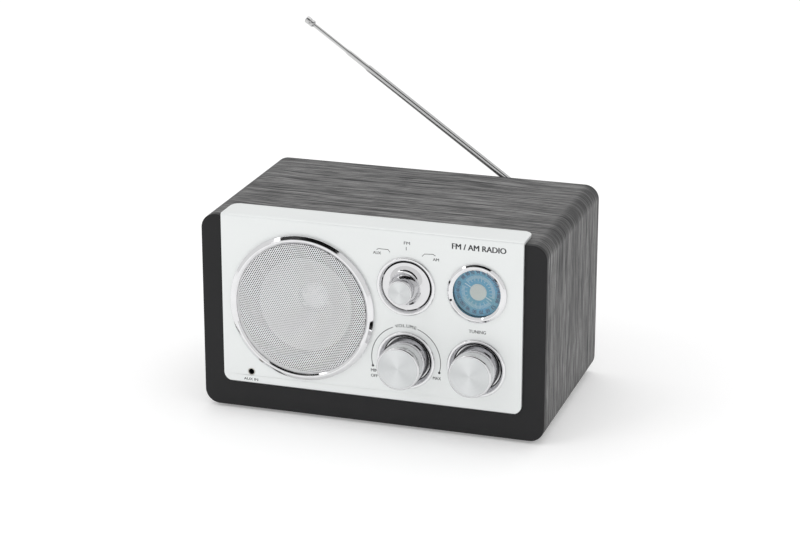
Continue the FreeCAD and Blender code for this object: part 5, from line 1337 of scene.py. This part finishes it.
def make_labels():
    """Plain words on the fascia, the volume's scale and the selector's three pointers."""
    words = []
    for node, across, up, text, height, width in (
            ("band_knob", -17.9, 19.2, "AUX", 1.7, 4.9), ("band_knob", 0.5, 26.9, "FM", 1.7, 3.7),
            ("band_knob", 18.3, 18.5, "AM", 1.7, 3.7), ("tuning_knob", 0.4, 22.9, "TUNING", 2.0, 10.4),
            ("volume_knob", -19.8, -8.8, "MIN", 1.9, 4.3), ("volume_knob", -19.8, -12.2, "OFF", 1.9, 4.3),
            ("volume_knob", 19.3, -9.4, "MAX", 1.9, 4.9), ("aux_jack", -0.4, -4.9, "AUX IN", 1.6, 9.1)):
        words.append(lettering(fascia_spot(node, across, up), text, height, width, 0.05))
    title = lettering(fascia_spot("dial_bezel", 0.9, 27.7), "FM / AM RADIO", 3.5, 32.6, 0.17)
    for i, letter in enumerate("VOLUME"):
        turn = math.radians(2.5 * VOLUME_LETTER_STEP - VOLUME_LETTER_STEP * i)
        spot = fascia_spot("volume_knob", 0, 0).turned_by(turn).moved(0, VOLUME_WORD_RADIUS)
        words.append(lettering(spot, letter, 2.0, weight=0.06))
    add_piece("fascia_words", joined(title, *words), "cabinet", "fascia_silver", finish_name="ink")

    volume = fascia_spot("volume_knob", 0, 0)
    band = fascia_spot("band_knob", 0, 0)
    rise = INK_RISE / 2
    left, right = VOLUME_SCALE_ENDS
    marks = [ribbon(volume, arc(VOLUME_SCALE_RADIUS, left, 112.5), 0.4, rise),
             ribbon(volume, arc(VOLUME_SCALE_RADIUS, 70.3, right), 0.4, rise)]
    for angle in VOLUME_SCALE_ENDS:
        spot = volume.moved(*arc(VOLUME_SCALE_RADIUS, angle, angle, 1)[0])
        marks.append(turned(spot, [(0, 0), (0.75, 0), (0.75, rise), (0, rise)], 24, closed=False))
    for path in ([(-18.2, 21.0), (-17.2, 21.8), (-11.1, 21.8), (-9.9, 20.2)], [(0.1, 24.5), (0.1, 22.4)],
                 [(9.8, 19.7), (11.3, 21.3), (16.5, 21.7), (18.0, 20.8)]):
        marks.append(ribbon(band, path, 0.35, rise))
    add_piece("fascia_marks", joined(*marks), "cabinet", "fascia_silver", finish_name="ink")


# ---------------------------------------------------------------- antenna
def half_depth(node):
    """Radius of a round node that stands across the front-to-back line."""
    low, high = limits(node)
    return (high[1] - low[1]) / 2


def make_antenna():
    """Middle tube with a drawn-in end, inner rod and grooved tip, turned about the antenna's own line."""
    origin = middle("antenna_elbow_pin")
    out = joint_axis("antenna_rod_slide")
    place = Place(origin, joint_axis("antenna_tilt"), (0, 1, 0), out)

    start, end = span("antenna_middle_tube", origin, out)
    outer = half_depth("antenna_middle_tube")
    inner = outer - ANTENNA_TUBE_WALL
    drawn_in = outer - ANTENNA_TUBE_BEAD
    profile = softened([
        (inner, start), (outer, start), (outer, end - 1.4), (drawn_in, end - 0.9), (drawn_in, end),
        (inner, end)], [0.05, 0.1, 0.3, 0.3, 0.25, 0.1], 4)
    add_piece("antenna_middle", turned(place, profile, 48), "antenna_middle", "antenna_chrome",
              ["antenna_middle_tube"])

    start, end = span("antenna_inner_rod", origin, out)
    rod = half_depth("antenna_inner_rod")
    profile = softened([(0, start), (rod, start), (rod, end), (0, end)], [0, 0.3, 0.1, 0], 3, closed=False)
    add_piece("antenna_rod", turned(place, profile, 40, closed=False), "antenna_rod", "antenna_chrome",
              ["antenna_inner_rod"])

    start, end = span("antenna_tip", origin, out)
    tip = half_depth("antenna_tip")
    groove = tip - 0.3
    profile = softened([
        (0, start), (rod, start), (tip - 0.4, start), (tip, start + 0.6), (tip, start + 2.2),
        (groove, start + 2.5), (groove, start + 2.9), (tip, start + 3.2), (tip, end - 0.5),
        (tip - 0.5, end), (0, end)],
        [0, 0.1, 0.3, 0.3, 0.1, 0.1, 0.1, 0.1, 0.4, 0.3, 0], 4, closed=False)
    add_piece("antenna_cap", turned(place, profile, 48, closed=False), "antenna_rod", "antenna_chrome",
              ["antenna_tip"])
    dress("antenna_base_tube", "antenna_fork", "antenna_elbow_pin")


# ---------------------------------------------------------------- the rest, kept from the frame
def make_back():
    dress("rear_cover", "cabinet_screws", "mains_inlet")


def make_works():
    """Finishes for every CAD node that nothing has replaced."""
    dress(*frame["nodes"])


# ---------------------------------------------------------------- studio
WORLD_STRENGTH = 0.84
LIGHT_SHARE = 0.3
FLOOR_HALF = 6.0


def area_light(name, position, target, size, power):
    data = bpy.data.lights.new(name, "AREA")
    data.shape = "RECTANGLE"
    data.size, data.size_y = size
    data.energy = power
    light = put_in_scene(name, data)
    light.location = position
    light.rotation_euler = (Vector(target) - Vector(position)).to_track_quat("-Z", "Y").to_euler()


def dark_flag(name, azimuth, elevation, distance, size):
    """Black card that only mirrors see: it gives the chrome its dark bands."""
    turn, rise = math.radians(azimuth), math.radians(elevation)
    away = Vector((math.cos(rise) * math.sin(turn), -math.cos(rise) * math.cos(turn), math.sin(rise)))
    centre = Vector((0, 0, 0.08)) + away * distance
    side = away.cross(Vector((0, 0, 1))).normalized()
    top = side.cross(away)
    across, up = side * size[0] / 2, top * size[1] / 2
    corners = [centre - across - up, centre + across - up, centre + across + up, centre - across + up]
    mesh = bpy.data.meshes.new(name)
    mesh.from_pydata(corners, [], [(0, 1, 2, 3)])
    card = put_in_scene(name, mesh)
    material, tree, shader = new_finish(name, {"Roughness": 1.0, "Specular IOR Level": 0.0})
    cloth = ramp(tree, noise(tree, here(tree), 40.0), [(0.3, 0.004), (0.7, 0.010)])
    tree.links.new(cloth, shader.inputs["Base Color"])
    mesh.materials.append(material)
    card.visible_camera = False
    card.visible_diffuse = False
    card.visible_shadow = False


def make_floor():
    mesh = bpy.data.meshes.new("studio_floor")
    corners = [(x * FLOOR_HALF, y * FLOOR_HALF, 0) for x, y in ((-1, -1), (1, -1), (1, 1), (-1, 1))]
    mesh.from_pydata(corners, [], [(0, 1, 2, 3)])
    floor = put_in_scene("studio_floor", mesh)
    material, tree, shader = new_finish("floor", {"Roughness": 0.9, "Specular IOR Level": 0.2,
                                                 "Emission Strength": 0.26})
    tone = ramp(tree, noise(tree, here(tree), 3.0, 2.0), [(0.3, 0.86), (0.7, 0.88)])
    tree.links.new(tone, shader.inputs["Base Color"])
    tree.links.new(tone, shader.inputs["Emission Color"])
    mesh.materials.append(material)


def make_stage(studio):
    scene = bpy.context.scene
    target = Vector(studio.target)
    level = math.cos(studio.elevation) * studio.distance
    camera = put_in_scene("camera", bpy.data.cameras.new("camera"))
    camera.location = target + Vector((level * math.sin(studio.azimuth), -level * math.cos(studio.azimuth),
                                       math.sin(studio.elevation) * studio.distance))
    camera.rotation_euler = (target - camera.location).to_track_quat("-Z", "Y").to_euler()
    camera.data.lens = studio.lens
    camera.data.sensor_width = 36.0
    scene.camera = camera
    scene.view_settings.view_transform = "Standard"

    world = bpy.data.worlds.new("studio")
    world.use_nodes = True
    background = world.node_tree.nodes["Background"]
    background.inputs["Color"].default_value = (1, 1, 1, 1)
    background.inputs["Strength"].default_value = WORLD_STRENGTH
    scene.world = world
    make_floor()
    dark_flag("flag_over", 16, 54, 1.3, (2.8, 0.62))
    dark_flag("flag_side", 104, 26, 1.3, (0.70, 0.8))
    area_light("key", (-1.1, -1.2, 1.5), target, (0.9, 0.9), studio.key_power * LIGHT_SHARE)
    area_light("top", (0.0, 0.5, 1.9), target, (1.6, 1.6), studio.key_power * LIGHT_SHARE)


# ---------------------------------------------------------------- operators
class RADIO_OT_cabinet(bpy.types.Operator):
    """Wrap the cabinet's sleeve in charcoal veneer"""
    bl_idname = "radio.cabinet"
    bl_label = "Cabinet"

    def execute(self, context):
        make_cabinet(context.scene.radio_sizes)
        return {"FINISHED"}


class RADIO_OT_baffle(bpy.types.Operator):
    """Make the black baffle with its openings"""
    bl_idname = "radio.baffle"
    bl_label = "Baffle"

    def execute(self, context):
        make_baffle(context.scene.radio_sizes)
        return {"FINISHED"}


class RADIO_OT_fascia(bpy.types.Operator):
    """Fold the silver fascia over the cabinet's top"""
    bl_idname = "radio.fascia"
    bl_label = "Fascia"

    def execute(self, context):
        make_fascia(context.scene.radio_sizes)
        return {"FINISHED"}


class RADIO_OT_feet(bpy.types.Operator):
    """Turn the four rubber feet and the auxiliary socket"""
    bl_idname = "radio.feet"
    bl_label = "Feet and socket"

    def execute(self, context):
        make_feet()
        make_socket()
        return {"FINISHED"}


class RADIO_OT_speaker_front(bpy.types.Operator):
    """Make the speaker's chrome ring, perforated grille, rubber roll and spider"""
    bl_idname = "radio.speaker_front"
    bl_label = "Speaker front"

    def execute(self, context):
        make_speaker_front(context.scene.radio_sizes)
        return {"FINISHED"}


class RADIO_OT_bezels(bpy.types.Operator):
    """Turn the three dished bezels"""
    bl_idname = "radio.bezels"
    bl_label = "Bezels"

    def execute(self, context):
        make_bezels(context.scene.radio_sizes)
        return {"FINISHED"}


class RADIO_OT_knobs(bpy.types.Operator):
    """Turn the three knobs and their spun caps"""
    bl_idname = "radio.knobs"
    bl_label = "Knobs"

    def execute(self, context):
        make_round_knobs(context.scene.radio_sizes)
        make_band_knob(context.scene.radio_sizes)
        return {"FINISHED"}


class RADIO_OT_dial(bpy.types.Operator):
    """Make the dial's ring, window, disc, numerals and index"""
    bl_idname = "radio.dial"
    bl_label = "Dial"

    def execute(self, context):
        make_dial(context.scene.radio_sizes)
        return {"FINISHED"}


class RADIO_OT_labels(bpy.types.Operator):
    """Print the plain words and marks on the fascia"""
    bl_idname = "radio.labels"
    bl_label = "Labels"

    def execute(self, context):
        make_labels()
        return {"FINISHED"}


class RADIO_OT_antenna(bpy.types.Operator):
    """Make the telescopic antenna's tubes and tip"""
    bl_idname = "radio.antenna"
    bl_label = "Antenna"

    def execute(self, context):
        make_antenna()
        return {"FINISHED"}


class RADIO_OT_back(bpy.types.Operator):
    """Finish the rear cover, its screws and the mains inlet"""
    bl_idname = "radio.back"
    bl_label = "Back"

    def execute(self, context):
        make_back()
        return {"FINISHED"}


class RADIO_OT_works(bpy.types.Operator):
    """Finish the pieces inside the cabinet"""
    bl_idname = "radio.works"
    bl_label = "Works"

    def execute(self, context):
        make_works()
        return {"FINISHED"}


class RADIO_OT_stage(bpy.types.Operator):
    """Set the floor, lights and camera"""
    bl_idname = "radio.stage"
    bl_label = "Stage"

    def execute(self, context):
        make_stage(context.scene.radio_studio)
        return {"FINISHED"}


STEPS = (RADIO_OT_cabinet, RADIO_OT_baffle, RADIO_OT_fascia, RADIO_OT_feet, RADIO_OT_speaker_front,
         RADIO_OT_bezels, RADIO_OT_knobs, RADIO_OT_dial, RADIO_OT_labels, RADIO_OT_antenna,
         RADIO_OT_back, RADIO_OT_works, RADIO_OT_stage)


class RADIO_PT_panel(bpy.types.Panel):
    """Lists the radio's settings and the steps that make it"""
    bl_label = "Tabletop Radio"
    bl_idname = "RADIO_PT_panel"
    bl_space_type = "VIEW_3D"
    bl_region_type = "UI"
    bl_category = "Radio"

    def draw(self, context):
        for group in (context.scene.radio_sizes, context.scene.radio_colours, context.scene.radio_studio):
            box = self.layout.box()
            for name in group.__annotations__:
                box.prop(group, name)
        for step in STEPS:
            self.layout.operator(step.bl_idname)


CLASSES = (RadioSizes, RadioColours, RadioStudio, *STEPS, RADIO_PT_panel)


def register():
    for cls in CLASSES:
        bpy.utils.register_class(cls)
    bpy.types.Scene.radio_sizes = PointerProperty(type=RadioSizes)
    bpy.types.Scene.radio_colours = PointerProperty(type=RadioColours)
    bpy.types.Scene.radio_studio = PointerProperty(type=RadioStudio)


def unregister():
    del bpy.types.Scene.radio_sizes
    del bpy.types.Scene.radio_colours
    del bpy.types.Scene.radio_studio
    for cls in reversed(CLASSES):
        bpy.utils.unregister_class(cls)


def main():
    register()
    for step in STEPS:
        group, name = step.bl_idname.split(".")
        getattr(getattr(bpy.ops, group), name)()


if __name__ == "__main__":
    main()
